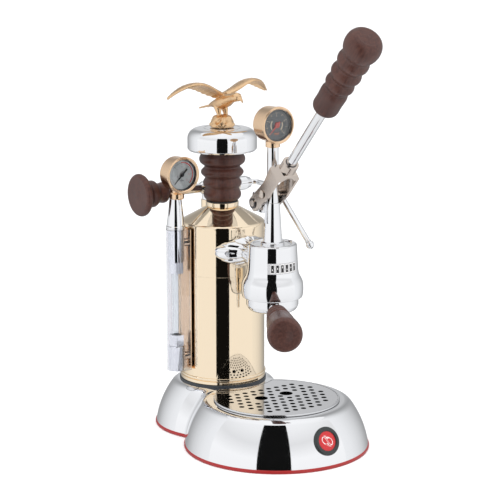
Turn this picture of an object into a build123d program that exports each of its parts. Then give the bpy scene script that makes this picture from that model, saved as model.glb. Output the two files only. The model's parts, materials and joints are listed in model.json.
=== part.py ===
"""Hand-lever espresso machine: lobed pressed base, upright boiler, lever group, sight glass and steam tap.

Millimetres. The origin stands on the ground under the boiler's axis, +Z is up, -Y is the front.
"""
import os
from math import asin, cos, hypot, radians, sin, sqrt

from build123d import *

os.makedirs("parts", exist_ok=True)

# ---------------------------------------------------------------- driving dimensions
# base: a big front lobe under the cup and a smaller rear lobe under the boiler
FRONT_RADIUS = 100.0
REAR_RADIUS = 75.4
LOBE_SPACING = 106.5
WAIST_ROUNDING = 11.0
WALL_FOOT = 3.0
WALL_RADIUS = 100.0
WALL_LEAN = radians(8.0)
WALL_END = radians(35.6)
EDGE_RADIUS = 11.7
SHEET = 1.2
TRIM_HEIGHT = 4.2
TRAY_RADIUS = 68.6
TRAY_HOLLOW = 57.6
TRAY_FLOOR = 24.0
GRID_HOLE = 3.0
FINGER_HOLE = 7.2

# boiler
BOILER_RADIUS = 46.9
BOILER_BORE = 44.4
BOILER_FOOT = 62.2
BOILER_NECK = 38.0
SHOULDER_TOP = 235.6
COLLAR_RADIUS = 18.2
COLLAR_TOP = 254.0
CAP_BORE = 14.0

# group, piston and portafilter share one upright axis in front of the boiler
GROUP_Y = -98.0
GROUP_TOP = 224.0
GROUP_LOW = 165.2
SLEEVE_BORE = 18.5
PISTON_RADIUS = 18.3
ROD_RADIUS = 6.2
ROD_TOP = 330.0
RUNNING = 0.05
FLANGE_Z = 206.0
BOLT_X = 24.0

# lever: hung on the piston pin, levering on a pin behind it
PIN_Z = 278.0
PIN_RADIUS = 3.5
LEVER_ANGLE = radians(47.8)
PLATE_INNER = 11.0
PLATE_OUTER = 14.0
REAR_U = -20.3
REAR_V = 4.1
TUBE_RADIUS = 6.25
TUBE_START = 36.0
HANDLE_START = 136.0
HANDLE_END = 244.0

# portafilter handle: rests turned towards the left of the front
HANDLE_TURN = radians(28.0)
HANDLE_DROP = radians(3.0)
LUG_TURN = -28.0
UNLOCK_TURN = -40.0
HANDLE_AXIS_Z = 157.5

# sight glass, on the boiler's left
SIGHT_X = -61.0
COVER_RADIUS = 10.9
COVER_LOW = 70.0
COVER_TOP = 231.5

# steam tap, across the boiler's shoulder behind the cap
TAP_Y = 29.0
TAP_Z = 265.0
WAND_X = 64.0
WAND_RADIUS = 2.9

# gauges
GAUGE_RADIUS = 20.0
LEFT_GAUGE = Vector(-60.5, -17.0, 291.0)
LEFT_DEPTH = 21.0
GROUP_GAUGE = Vector(0.0, -109.5, 352.0)
GROUP_DEPTH = 23.0

UP = (0, 0, 1)
FORWARD = (0, -1, 0)


# ---------------------------------------------------------------- shared geometry
def turning_plane(at, along, across=None):
    """Plane beside a turning axis: its x is the radius, its y the distance along the axis."""
    axis = Vector(along).normalized()
    start = Vector(across or ((0, 0, 1) if abs(axis.Z) < 0.9 else (1, 0, 0)))
    start = (start - axis * start.dot(axis)).normalized()
    return Plane(at, x_dir=start, z_dir=start.cross(axis))


def turning(points, at=(0, 0, 0), along=UP, across=None):
    """Half section of (radius, distance[, corner rounding]) points beside a turning axis, and the axis."""
    with BuildSketch(turning_plane(at, along, across)) as half:
        with BuildLine():
            corners = [(p[0], p[1]) for p in points]
            roundings = [p[2] if len(p) > 2 else 0 for p in points]
            if any(roundings):
                FilletPolyline(*corners, radius=roundings, close=True)
            else:
                Polyline(*corners, close=True)
        make_face()
    return half.sketch, Axis(at, along)


def turned_wood(points, at, along, bore=0.0):
    """Half section of a turned handle: a smooth curve through (radius, distance) points, down to a bore."""
    with BuildSketch(turning_plane(at, along)) as half:
        with BuildLine():
            Spline(*points)
            Polyline(points[-1], (bore, points[-1][1]), (bore, points[0][1]), points[0])
        make_face()
    return half.sketch, Axis(at, along)


def base_outline(inset, height, rounding=WAIST_ROUNDING):
    """The two lobes drawn in by inset, joined by a rounded waist, at a height."""
    front = FRONT_RADIUS - inset
    rear = REAR_RADIUS - inset
    to_front = front + rounding
    to_rear = rear + rounding
    waist_y = (to_front**2 - to_rear**2 - LOBE_SPACING**2) / (2 * LOBE_SPACING)
    waist_x = sqrt(to_rear**2 - waist_y**2)
    waist = Vector(waist_x, waist_y)
    lobe = Vector(0, -LOBE_SPACING)
    on_front = lobe + (waist - lobe) * (front / to_front)
    on_rear = waist * (rear / to_rear)
    inward = ((on_front - waist) + (on_rear - waist)).normalized()
    hollow = waist + inward * rounding
    with BuildSketch(Plane.XY.offset(height)) as outline:
        with BuildLine():
            ThreePointArc((on_front.X, on_front.Y), (0, -LOBE_SPACING - front), (-on_front.X, on_front.Y))
            ThreePointArc((-on_front.X, on_front.Y), (-hollow.X, hollow.Y), (-on_rear.X, on_rear.Y))
            ThreePointArc((-on_rear.X, on_rear.Y), (0, rear), (on_rear.X, on_rear.Y))
            ThreePointArc((on_rear.X, on_rear.Y), (hollow.X, hollow.Y), (on_front.X, on_front.Y))
        make_face()
    return outline.sketch


def tray_outline(inset, height):
    """Drip tray seen from above, drawn in by inset: round, hollowed at the back around the boiler."""
    with BuildSketch(Plane.XY.offset(height)) as outline:
        with Locations((0, -LOBE_SPACING)):
            Circle(TRAY_RADIUS - inset)
        Circle(TRAY_HOLLOW + inset, mode=Mode.SUBTRACT)
        fillet(outline.vertices(), 3)
    return outline.sketch


def wall_station(lean, depth=0.0):
    """Inset and height of the base wall where it leans by an angle, on its outside or depth inside it."""
    arc = min(lean, WALL_END)
    inset = WALL_RADIUS * (cos(WALL_LEAN) - cos(arc))
    height = WALL_FOOT + WALL_RADIUS * (sin(arc) - sin(WALL_LEAN))
    if lean > WALL_END:
        inset += EDGE_RADIUS * (cos(WALL_END) - cos(lean))
        height += EDGE_RADIUS * (sin(lean) - sin(WALL_END))
    return inset + depth * cos(lean), height - depth * sin(lean)


def wall_lean(height):
    """How far the base wall leans from upright at a height."""
    return asin(sin(WALL_LEAN) + (height - WALL_FOOT) / WALL_RADIUS)


BASE_TOP = wall_station(radians(90))[1]
WALL_LEANS = [radians(a) for a in (8, 12, 16, 20, 24, 28, 32, 35.6, 41, 47, 54, 62, 70, 80, 90)]


def wall_frame(radius, centre_y, turn, height):
    """Point on a lobe's wall and its outward normal, at an angle from the front towards +X."""
    lean = wall_lean(height)
    inset = wall_station(lean)[0]
    out = Vector(sin(turn), -cos(turn), 0)
    point = Vector(0, centre_y, height) + out * (radius - inset)
    return point, out * cos(lean) + Vector(0, 0, sin(lean))


def lever_point(u, v):
    """A point in the lever's own frame: u along the lever from the piston pin, v square to it."""
    y = GROUP_Y - u * cos(LEVER_ANGLE) + v * sin(LEVER_ANGLE)
    z = PIN_Z + u * sin(LEVER_ANGLE) + v * cos(LEVER_ANGLE)
    return Vector(0, y, z)


LEVER_ALONG = Vector(0, -cos(LEVER_ANGLE), sin(LEVER_ANGLE))
LEVER_SIDE = Plane(lever_point(0, 0), x_dir=LEVER_ALONG, z_dir=(-1, 0, 0))
HANDLE_ALONG = Vector(
    -sin(HANDLE_TURN) * cos(HANDLE_DROP), -cos(HANDLE_TURN) * cos(HANDLE_DROP), -sin(HANDLE_DROP)
)
GROUP_AXIS = (0, GROUP_Y, 0)
SIGHT_AXIS = (SIGHT_X, 0, 0)
BADGE_POINT, BADGE_NORMAL = wall_frame(FRONT_RADIUS, -LOBE_SPACING, 0, 28.8)
SWITCH_POINT, SWITCH_NORMAL = wall_frame(FRONT_RADIUS, -LOBE_SPACING, radians(90), 26.0)
GLAND_POINT, GLAND_NORMAL = wall_frame(REAR_RADIUS, 0, radians(180), 20.0)
BADGE_HOLE = 15.6
SWITCH_LENGTH = 30.0
SWITCH_HEIGHT = 21.0
GLAND_HOLE = 8.0
CORD_HOLE = 3.7


def switch_plane(lift):
    """Plane of the power switch, lift above the base wall."""
    return Plane(SWITCH_POINT + SWITCH_NORMAL * lift, x_dir=(0, 1, 0), z_dir=SWITCH_NORMAL)


# ---------------------------------------------------------------- base
with BuildPart() as base_shell:
    loft(sections=[base_outline(*wall_station(a)) for a in WALL_LEANS], ruled=True)
    cavity = [base_outline(SHEET, WALL_FOOT - 0.6)]
    cavity += [base_outline(*wall_station(a, SHEET)) for a in WALL_LEANS]
    loft(sections=cavity, ruled=True, mode=Mode.SUBTRACT)
    extrude(tray_outline(3.8, BASE_TOP - 4), amount=8, mode=Mode.SUBTRACT)
    with Locations((0, 0, BASE_TOP)):
        Cylinder(BOILER_NECK + 0.2, 8, mode=Mode.SUBTRACT)
    with Locations(Plane(BADGE_POINT, z_dir=BADGE_NORMAL)):
        Cylinder(BADGE_HOLE, 14, mode=Mode.SUBTRACT)
    with Locations(Plane(GLAND_POINT, z_dir=GLAND_NORMAL)):
        Cylinder(GLAND_HOLE, 14, mode=Mode.SUBTRACT)
    with Locations(switch_plane(0)):
        Box(SWITCH_LENGTH - 2, SWITCH_HEIGHT - 2, 14, mode=Mode.SUBTRACT)
base_shell.part.label = "base_shell"

with BuildPart() as base_trim:
    extrude(base_outline(-0.9, 0), amount=TRIM_HEIGHT)
    extrude(base_outline(3.0, 0), amount=TRIM_HEIGHT, mode=Mode.SUBTRACT)
    extrude(base_outline(-0.05, WALL_FOOT), amount=TRIM_HEIGHT, mode=Mode.SUBTRACT)
base_trim.part.label = "base_trim"

with BuildPart() as base_plate:
    extrude(base_outline(3.1, 1.0), amount=1.6)
base_plate.part.label = "base_plate"

with BuildPart() as badge_ring:
    revolve(*turning([(10.6, -3), (15.4, -3), (15.4, 0.6, 0.5), (13.6, 1.9, 0.6), (10.6, 1.2)],
                     BADGE_POINT, BADGE_NORMAL))
badge_ring.part.label = "badge_ring"

with BuildPart() as badge_disc:
    with Locations(Plane(BADGE_POINT - BADGE_NORMAL * 0.6, z_dir=BADGE_NORMAL)):
        Cylinder(10.55, 3.0)
badge_disc.part.label = "badge_disc"

with BuildPart() as switch_housing:
    with BuildSketch(switch_plane(-4)) as body_face:
        Rectangle(SWITCH_LENGTH - 2.4, SWITCH_HEIGHT - 2.4)
    extrude(amount=5)
    with BuildSketch(switch_plane(1.0)) as flange_face:
        RectangleRounded(SWITCH_LENGTH, SWITCH_HEIGHT, 2)
    extrude(amount=1.6)
    with BuildSketch(switch_plane(-2.5)) as rocker_space:
        Rectangle(SWITCH_LENGTH - 6, SWITCH_HEIGHT - 6)
    extrude(amount=6, mode=Mode.SUBTRACT)
switch_housing.part.label = "switch_housing"

with BuildPart() as switch_rocker:
    rocker_half = SWITCH_LENGTH / 2 - 3.6
    with BuildSketch(Plane(SWITCH_POINT, x_dir=(0, 1, 0), z_dir=Vector(0, 1, 0).cross(SWITCH_NORMAL))):
        with BuildLine():
            Polyline((-rocker_half, -0.3), (0, -1.4), (rocker_half, 1.2), (rocker_half, 4.6))
            ThreePointArc((rocker_half, 4.6), (0, 2.6), (-rocker_half, 2.4))
            Line((-rocker_half, 2.4), (-rocker_half, -0.3))
        make_face()
    extrude(amount=SWITCH_HEIGHT / 2 - 3.6, both=True)
switch_rocker.part.label = "switch_rocker"

with BuildPart() as cord_gland:
    revolve(*turning([(CORD_HOLE, -6), (GLAND_HOLE - 0.1, -6), (GLAND_HOLE - 0.1, 0.5), (9.4, 0.8),
                      (9.4, 2.2, 0.8), (6.4, 3.2), (5.6, 9, 0.8), (CORD_HOLE, 9)],
                     GLAND_POINT, GLAND_NORMAL))
cord_gland.part.label = "cord_gland"

TRAY_LOW = BASE_TOP + 0.3
GRID_LOW = BASE_TOP + 0.8
GRID_SHEET = 1.2
with BuildPart() as drip_tray:
    extrude(tray_outline(0, TRAY_LOW), amount=1.9)
    extrude(tray_outline(4.2, TRAY_FLOOR), amount=TRAY_LOW - TRAY_FLOOR)
    fillet(drip_tray.edges().group_by(Axis.Z)[0], 3)
    fillet(drip_tray.edges().group_by(Axis.Z)[-1], 0.8)
    extrude(tray_outline(5.1, TRAY_FLOOR + 0.9), amount=60, mode=Mode.SUBTRACT)
    extrude(tray_outline(2.0, GRID_LOW - 0.05), amount=60, mode=Mode.SUBTRACT)
drip_tray.part.label = "drip_tray"

with BuildPart() as drip_grid:
    extrude(tray_outline(2.3, GRID_LOW), amount=GRID_SHEET)
    with BuildSketch(Plane((0, 0, GRID_LOW - 1))):
        finger_places = [(-16.4, -101), (16.4, -101)]
        with Locations(*finger_places):
            Circle(FINGER_HOLE)
        for row in range(9):
            y = -76 - row * 10.1
            for column in range(-6, 7):
                x = (column + 0.5 * (row % 2)) * 10.4
                clear = all(hypot(x - fx, y - fy) > FINGER_HOLE + GRID_HOLE + 0.8 for fx, fy in finger_places)
                if hypot(x, y + LOBE_SPACING) < 56 and hypot(x, y) > 67 and clear:
                    with Locations((x, y)):
                        Circle(GRID_HOLE)
    extrude(amount=4, mode=Mode.SUBTRACT)
drip_grid.part.label = "drip_grid"

# ---------------------------------------------------------------- boiler
with BuildPart() as boiler_shell:
    revolve(*turning([(BOILER_NECK, 41), (BOILER_NECK, BOILER_FOOT), (BOILER_RADIUS, BOILER_FOOT),
                      (BOILER_RADIUS, 232.4, 4), (41.2, SHOULDER_TOP, 1.5), (17.2, 248.8), (17.2, 249.6),
                      (COLLAR_RADIUS, 249.6, 0.5), (COLLAR_RADIUS, COLLAR_TOP, 0.5), (CAP_BORE, COLLAR_TOP),
                      (CAP_BORE, 245), (41, 230.5), (BOILER_BORE, 227), (BOILER_BORE, 66), (35, 66), (35, 41)]))
    with Locations((0, TAP_Y, 247)):
        Cylinder(8, 9)
    revolve(*turning([(0, 225), (BOILER_BORE, 225), (BOILER_BORE, 227), (41, 230.5), (CAP_BORE, 245),
                      (0, 245)]), mode=Mode.SUBTRACT)
    with Locations((0, TAP_Y, 245)):
        Cylinder(5, 30, mode=Mode.SUBTRACT)
    with Locations(Plane((-BOLT_X, -40, FLANGE_Z), z_dir=FORWARD), Plane((BOLT_X, -40, FLANGE_Z), z_dir=FORWARD)):
        Cylinder(2.55, 16, mode=Mode.SUBTRACT)
boiler_shell.part.label = "boiler_shell"

with BuildPart() as boiler_base_ring:
    revolve(*turning([(BOILER_NECK + 0.1, 54.6), (47.6, 54.6, 0.8), (47.6, 58.2, 0.6), (46.4, 58.8),
                      (46.4, 59.2), (48.2, 59.8, 0.8), (48.2, BOILER_FOOT, 0.8), (BOILER_NECK + 0.1, BOILER_FOOT)]))
boiler_base_ring.part.label = "boiler_base_ring"

with BuildPart() as boiler_seal:
    revolve(*turning([(BOILER_NECK + 0.1, BASE_TOP), (48.6, BASE_TOP), (48.6, 54.6, 0.6), (BOILER_NECK + 0.1, 54.6)]))
boiler_seal.part.label = "boiler_seal"

with BuildPart() as boiler_nut:
    with BuildSketch(Plane.XY.offset(43)) as nut_face:
        RegularPolygon(47, 12)
        Circle(BOILER_NECK + 0.1, mode=Mode.SUBTRACT)
    extrude(amount=7.6)
boiler_nut.part.label = "boiler_nut"

with BuildPart() as heating_element:
    revolve(*turning([(0, 38), (33, 38), (33, 40.9), (0, 40.9)]))
    with BuildLine():
        FilletPolyline((-13, 0, 32), (-13, 0, 150), (13, 0, 150), (13, 0, 32), radius=11)
    with BuildSketch(Plane((-13, 0, 32), z_dir=UP)):
        Circle(4)
    sweep()
heating_element.part.label = "heating_element"

# ---------------------------------------------------------------- boiler cap
with BuildPart() as cap_gasket:
    revolve(*turning([(CAP_BORE + 0.4, COLLAR_TOP + 0.1), (17.4, COLLAR_TOP + 0.1), (17.4, 255.2),
                      (CAP_BORE + 0.4, 255.2)]))
cap_gasket.part.label = "cap_gasket"

with BuildPart() as cap_stud:
    revolve(*turning([(0, 240), (CAP_BORE - RUNNING, 240, 1), (CAP_BORE - RUNNING, 255.4), (8, 255.4),
                      (8, 300), (5, 300), (5, 345), (0, 345)]))
cap_stud.part.label = "cap_stud"

with BuildPart() as cap_grip:
    revolve(*turned_wood([(16.7, 255.5), (19.6, 258), (20.9, 261.5), (19.6, 266.5), (18.7, 269.5), (20.4, 272),
                          (21.5, 275), (20.4, 278), (19.2, 280.3), (21.6, 283.2), (23.7, 287), (21.6, 290.6),
                          (19.6, 293.2), (22.6, 296), (25.4, 300), (24.8, 304.5), (22.5, 308), (21.4, 311)],
                         (0, 0, 0), UP, bore=8.1))
cap_grip.part.label = "cap_grip"

with BuildPart() as cap_disc:
    revolve(*turning([(5.1, 311.2), (36.4, 311.2, 1), (38.4, 314.5, 2), (38.4, 333.6, 7.5), (20.6, 336, 0.5),
                      (19.8, 335, 0.4), (19, 336, 0.5), (5.1, 336.4)]))
cap_disc.part.label = "cap_disc"

# the eagle: a mound, a body leaning forward, spread wings, a head and a fanned tail
with BuildPart() as eagle_finial:
    revolve(*turning([(5.1, 336.6), (13.6, 336.6, 0.8), (13.6, 340, 1.5), (10.5, 349, 2), (6, 352.5), (5.1, 352.5)]))
    with BuildSketch(Plane.XZ.offset(-8)) as wings:
        with BuildLine():
            Spline((-65.5, 369.5), (-54, 378), (-35, 387.4), (-16, 376), (0, 373), (16, 376), (35, 387.4),
                   (54, 378), (65.5, 369.5))
            Spline((65.5, 369.5), (48, 370), (33, 377), (15, 366), (0, 361), (-15, 366), (-33, 377),
                   (-48, 370), (-65.5, 369.5))
        make_face()
    extrude(amount=20)
    revolve(*turning([(0, -30), (5, -28, 2), (9.5, -12, 8), (9.5, 4, 8), (5.5, 18, 4), (5.5, 26, 4), (2.2, 31, 1),
                      (0, 34)], (0, -4, 364), (0, -1, 0.3)))
    with BuildSketch(Plane((0, 8, 361.5), x_dir=(1, 0, 0), z_dir=(0, 0.3, 1))) as tail:
        Trapezoid(22, 30, 105, align=(Align.CENTER, Align.MIN))
    extrude(amount=-4)
    with Locations((-4.5, 0, 352), (4.5, 0, 352)):
        Cylinder(2.6, 20)
    with Locations((0, 0, 340)):
        Cylinder(5.1, 10.2, mode=Mode.SUBTRACT)
eagle_finial.part.label = "eagle_finial"

# ---------------------------------------------------------------- group
def front_plane(y, x=0.0, z=FLANGE_Z):
    """Upright plane facing the front."""
    return Plane((x, y, z), x_dir=(1, 0, 0), z_dir=FORWARD)


with BuildPart() as group_body:
    with BuildSketch(front_plane(-60)):
        Circle(16.5)
        with Locations((-BOLT_X, 0), (BOLT_X, 0)):
            Circle(8.5)
        make_hull()
    extrude(amount=-35)
    with Locations((0, 0, FLANGE_Z)):
        Cylinder(54, 60, mode=Mode.INTERSECT)
    with BuildSketch(front_plane(-49)):
        Ellipse(25, 15.6)
    with BuildSketch(front_plane(-76)):
        Ellipse(16, 13.8)
    loft()
    revolve(*turning([(9.1, 222.6), (19.5, 222.6), (20.6, 223.9), (24, GROUP_TOP, 1), (26.3, 221.6, 1.5),
                      (27.6, 194.5, 6), (33.4, 183.5, 5), (33.4, 166.5, 0.8), (32.4, GROUP_LOW),
                      (28.2, GROUP_LOW), (28.2, 168), (31.3, 168), (31.3, 177.7), (21.05, 177.7),
                      (21.05, 216.5), (9.1, 216.5)], GROUP_AXIS))
    with Locations((0, 0, FLANGE_Z)):
        Cylinder(BOILER_RADIUS + 0.02, 60, mode=Mode.SUBTRACT)
    with Locations((0, GROUP_Y, 196.5)):
        Cylinder(21.05, 40, mode=Mode.SUBTRACT)
    with Locations(front_plane(-40, -BOLT_X), front_plane(-40, BOLT_X)):
        Cylinder(2.6, 40, mode=Mode.SUBTRACT)
    with Locations(front_plane(-60, -BOLT_X), front_plane(-60, BOLT_X)):
        Cylinder(4.7, 26, mode=Mode.SUBTRACT)
    with BuildSketch(Plane.XY.offset(GROUP_LOW - 1)):
        with Locations((0, GROUP_Y)):
            Circle(31.3)
            Rectangle(70, 22, rotation=LUG_TURN + UNLOCK_TURN, mode=Mode.INTERSECT)
    extrude(amount=168 - GROUP_LOW + 1.2, mode=Mode.SUBTRACT)
group_body.part.label = "group_body"

with BuildPart() as group_bolts:
    with Locations(front_plane(-47.1, -BOLT_X), front_plane(-47.1, BOLT_X)):
        Cylinder(4.3, 4.6, align=(Align.CENTER, Align.CENTER, Align.MIN))
        Cylinder(2.5, 10, align=(Align.CENTER, Align.CENTER, Align.MAX))
group_bolts.part.label = "group_bolts"

TOWER_TOP = 268.0
with BuildPart() as guide_tower:
    revolve(*turning([(ROD_RADIUS + RUNNING, 217), (9.0, 217), (9.0, 222.7), (12.6, 222.7), (12.6, 225, 0.8),
                      (10.4, 226), (7.6, TOWER_TOP, 0.4), (ROD_RADIUS + RUNNING, TOWER_TOP)], GROUP_AXIS))
    with Locations((0, GROUP_Y + 16.2, 266.5)):
        Box(16, 20.8, 21)
    fillet(guide_tower.edges().filter_by(Axis.X).group_by(Axis.Y)[-1], 4)
    with Locations((0, GROUP_Y, 250)):
        Cylinder(ROD_RADIUS + RUNNING, 80, mode=Mode.SUBTRACT)
    with Locations((0, GROUP_Y, 246 + 15)):
        Box(30, 7.6, 30, mode=Mode.SUBTRACT)
    rear_pin = lever_point(REAR_U, REAR_V)
    with Locations((0, GROUP_Y + 15.9, rear_pin.Z + 0.8)):
        Box(30, 17.2, 9.2, mode=Mode.SUBTRACT)
guide_tower.part.label = "guide_tower"

with BuildPart() as cylinder_sleeve:
    revolve(*turning([(SLEEVE_BORE, 176.6), (21, 176.6), (21, 216.4), (SLEEVE_BORE, 216.4)], GROUP_AXIS))
cylinder_sleeve.part.label = "cylinder_sleeve"

with BuildPart() as group_gasket:
    revolve(*turning([(24.3, 174.2, 0.4), (29.8, 174.2, 0.4), (29.8, 177.6), (24.3, 177.6)], GROUP_AXIS))
group_gasket.part.label = "group_gasket"

with BuildPart() as shower_screen:
    with Locations((0, GROUP_Y, 175.2)):
        Cylinder(24.1, 1.6)
    with BuildSketch(Plane((0, GROUP_Y, 173))) as screen_holes:
        for ring, count in ((5, 6), (11, 12), (17, 18)):
            with PolarLocations(ring, count):
                Circle(1.2)
    extrude(amount=5, mode=Mode.SUBTRACT)
shower_screen.part.label = "shower_screen"

with BuildPart() as temperature_strip:
    strip_start = (cos(radians(-136)), sin(radians(-136)), 0)
    revolve(*turning([(27.1, 206.8), (27.4, 206.8), (27.95, 195.2), (27.65, 195.2)], GROUP_AXIS, UP, strip_start),
            revolution_arc=74)
temperature_strip.part.label = "temperature_strip"

with BuildPart() as piston:
    revolve(*turning([(0, 196), (PISTON_RADIUS, 196, 1), (PISTON_RADIUS, 198), (16.6, 198), (16.6, 200.4),
                      (PISTON_RADIUS, 200.4), (PISTON_RADIUS, 203.6), (16.6, 203.6), (16.6, 206),
                      (PISTON_RADIUS, 206), (PISTON_RADIUS, 208, 0.5), (ROD_RADIUS + 0.05, 208),
                      (ROD_RADIUS + 0.05, 199), (0, 199)], GROUP_AXIS))
piston.part.label = "piston"

with BuildPart() as piston_seals:
    for seal_low in (198, 203.6):
        revolve(*turning([(16.65, seal_low + 0.05), (SLEEVE_BORE - 0.04, seal_low + 0.05),
                          (SLEEVE_BORE - 0.04, seal_low + 2.35), (16.65, seal_low + 2.35)], GROUP_AXIS))
piston_seals.part.label = "piston_seals"

with BuildPart() as piston_rod:
    revolve(*turning([(0, 199), (ROD_RADIUS, 199), (ROD_RADIUS, ROD_TOP - 2, 0.6), (4, ROD_TOP - 2),
                      (4, ROD_TOP + 4), (0, ROD_TOP + 4)], GROUP_AXIS))
    with Locations(Plane((0, GROUP_Y, PIN_Z), z_dir=(1, 0, 0))):
        Cylinder(PIN_RADIUS + 0.02, 20, mode=Mode.SUBTRACT)
piston_rod.part.label = "piston_rod"

with BuildPart() as piston_pin:
    pin_plane = Plane((0, GROUP_Y, PIN_Z), z_dir=(-1, 0, 0))
    with Locations(pin_plane):
        Cylinder(PIN_RADIUS, 2 * PLATE_OUTER + 1)
    revolve(*turning([(0, PLATE_OUTER + 0.3), (4.6, PLATE_OUTER + 0.3), (4.6, PLATE_OUTER + 1.4, 0.8),
                      (2.5, PLATE_OUTER + 2.9, 1), (0, PLATE_OUTER + 3.1)], (0, GROUP_Y, PIN_Z), (-1, 0, 0)))
    revolve(*turning([(0, PLATE_OUTER + 0.3), (4.6, PLATE_OUTER + 0.3), (4.6, PLATE_OUTER + 1.4, 0.8),
                      (2.5, PLATE_OUTER + 2.9, 1), (0, PLATE_OUTER + 3.1)], (0, GROUP_Y, PIN_Z), (1, 0, 0)))
piston_pin.part.label = "piston_pin"

# ---------------------------------------------------------------- lever
with BuildPart() as lever_fork:
    with BuildSketch(LEVER_SIDE) as side_view:
        with BuildLine():
            FilletPolyline((-26.5, -3.9), (4.2, -9.2), (40, -9.4), (40, 9.5), (33.1, 9.6), (12.2, 6.6),
                           (-26.2, 12.4), radius=[5, 4, 1.5, 1.5, 2, 8, 5], close=True)
        make_face()
    extrude(amount=PLATE_OUTER, both=True)
    top_view = Plane(lever_point(0, 0), x_dir=LEVER_ALONG, z_dir=Vector(0, sin(LEVER_ANGLE), cos(LEVER_ANGLE)))
    with BuildSketch(top_view) as tapers:
        for sign in (-1, 1):
            with BuildLine():
                Polyline((33, sign * 16), (33, sign * PLATE_OUTER), (40.5, sign * 8.5), (42, sign * 8.5),
                         (42, sign * 16), close=True)
            make_face()
    extrude(amount=20, both=True, mode=Mode.SUBTRACT)
    revolve(*turning([(TUBE_RADIUS, 35), (8.9, 35), (8.9, 50.5, 0.6), (TUBE_RADIUS, 50.5)],
                     lever_point(0, 0), LEVER_ALONG))
    with BuildSketch(LEVER_SIDE) as between_plates:
        with BuildLine():
            Polyline((-32, -14), (31, -14), (31, 1), (34, 5), (46, 10.2), (46, 14), (-32, 14), close=True)
        make_face()
    extrude(amount=PLATE_INNER, both=True, mode=Mode.SUBTRACT)
    with BuildSketch(top_view.offset(-20)) as underside_notch:
        with BuildLine():
            Polyline((30, -9), (38.5, 0), (30, 9), close=True)
        make_face()
    extrude(amount=14, mode=Mode.SUBTRACT)
    with Locations(Plane(lever_point(45, 0), z_dir=LEVER_ALONG)):
        Cylinder(TUBE_RADIUS + 0.05, 30, mode=Mode.SUBTRACT)
    with Locations(Plane(lever_point(0, 0), z_dir=(1, 0, 0))):
        Cylinder(PIN_RADIUS + RUNNING, 40, mode=Mode.SUBTRACT)
    with Locations(Plane(lever_point(REAR_U, REAR_V), z_dir=(1, 0, 0))):
        Cylinder(PIN_RADIUS + 0.02, 40, mode=Mode.SUBTRACT)
lever_fork.part.label = "lever_fork"

with BuildPart() as fulcrum_pin:
    with Locations(Plane(lever_point(REAR_U, REAR_V), z_dir=(1, 0, 0))):
        Cylinder(PIN_RADIUS, 2 * PLATE_OUTER + 4)
    chamfer(fulcrum_pin.edges(), 0.5)
fulcrum_pin.part.label = "fulcrum_pin"

with BuildPart() as pin_clips:
    for sign in (-1, 1):
        with BuildSketch(Plane(lever_point(REAR_U, REAR_V) + Vector(sign * (PLATE_OUTER + 0.1), 0, 0),
                               x_dir=LEVER_ALONG, z_dir=(sign, 0, 0))) as clip:
            Circle(5.6)
            Circle(PIN_RADIUS + 0.02, mode=Mode.SUBTRACT)
            with Locations((4.4, 0)):
                Rectangle(5, 3.4, mode=Mode.SUBTRACT)
        extrude(amount=0.9)
pin_clips.part.label = "pin_clips"

with BuildPart() as lever_arm:
    revolve(*turning([(0, TUBE_START), (TUBE_RADIUS, TUBE_START, 0.5), (TUBE_RADIUS, 224, 0.8), (0, 224)],
                     lever_point(0, 0), LEVER_ALONG))
lever_arm.part.label = "lever_arm"

with BuildPart() as lever_handle:
    revolve(*turned_wood([(11.4, HANDLE_START), (13.5, 138.6), (14.1, 146), (14.4, 158), (13.6, 165.4), (12.4, 168.6),
                          (14.2, 172), (15.6, 175.6), (14.4, 180), (12.9, 183.4), (14.8, 187), (16.4, 191.3),
                          (15.2, 196), (13.7, 199.6), (15.6, 203.6), (17.1, 208), (16.4, 212.4), (15.2, 216),
                          (17, 220.6), (19.2, 227), (19.2, 235), (16.6, 241), (12, HANDLE_END)],
                         lever_point(0, 0), LEVER_ALONG, bore=TUBE_RADIUS + 0.05))
    revolve(*turning([(0, 226), (10, 226), (10, HANDLE_END), (0, HANDLE_END + 0.8)], lever_point(0, 0), LEVER_ALONG))
lever_handle.part.label = "lever_handle"

# ---------------------------------------------------------------- portafilter
HANDLE_ROOT = Vector(0, GROUP_Y, HANDLE_AXIS_Z)
with BuildPart() as portafilter_body:
    revolve(*turning([(0, 149), (16, 149, 3), (25.5, 151.2, 5), (28.2, 156.4, 4), (28.2, 164.6, 0.6),
                      (27.9, 165), (27.9, 173.6), (25.9, 173.6), (25.9, 153.4, 3), (0, 151.4)], GROUP_AXIS))
    with BuildSketch(Plane.XY.offset(168.3)) as lugs:
        with Locations((0, GROUP_Y)):
            Circle(30.9)
            Rectangle(70, 19, rotation=LUG_TURN, mode=Mode.INTERSECT)
            Circle(27.0, mode=Mode.SUBTRACT)
    extrude(amount=3.2)
    revolve(*turning([(0, 27), (7.2, 27), (7.2, 34), (6.8, 38), (4, 38), (4, 59), (0, 59)],
                     HANDLE_ROOT, HANDLE_ALONG))
    with Locations((0, GROUP_Y, 150)):
        Cylinder(3.6, 8, mode=Mode.SUBTRACT)
portafilter_body.part.label = "portafilter_body"

with BuildPart() as portafilter_spout:
    revolve(*turning([(2.6, 131), (5.2, 131, 0.5), (5.2, 138), (6.2, 140), (6.2, 149.0), (3.5, 149.0), (3.5, 151),
                      (2.6, 151)], GROUP_AXIS))
portafilter_spout.part.label = "portafilter_spout"

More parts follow.
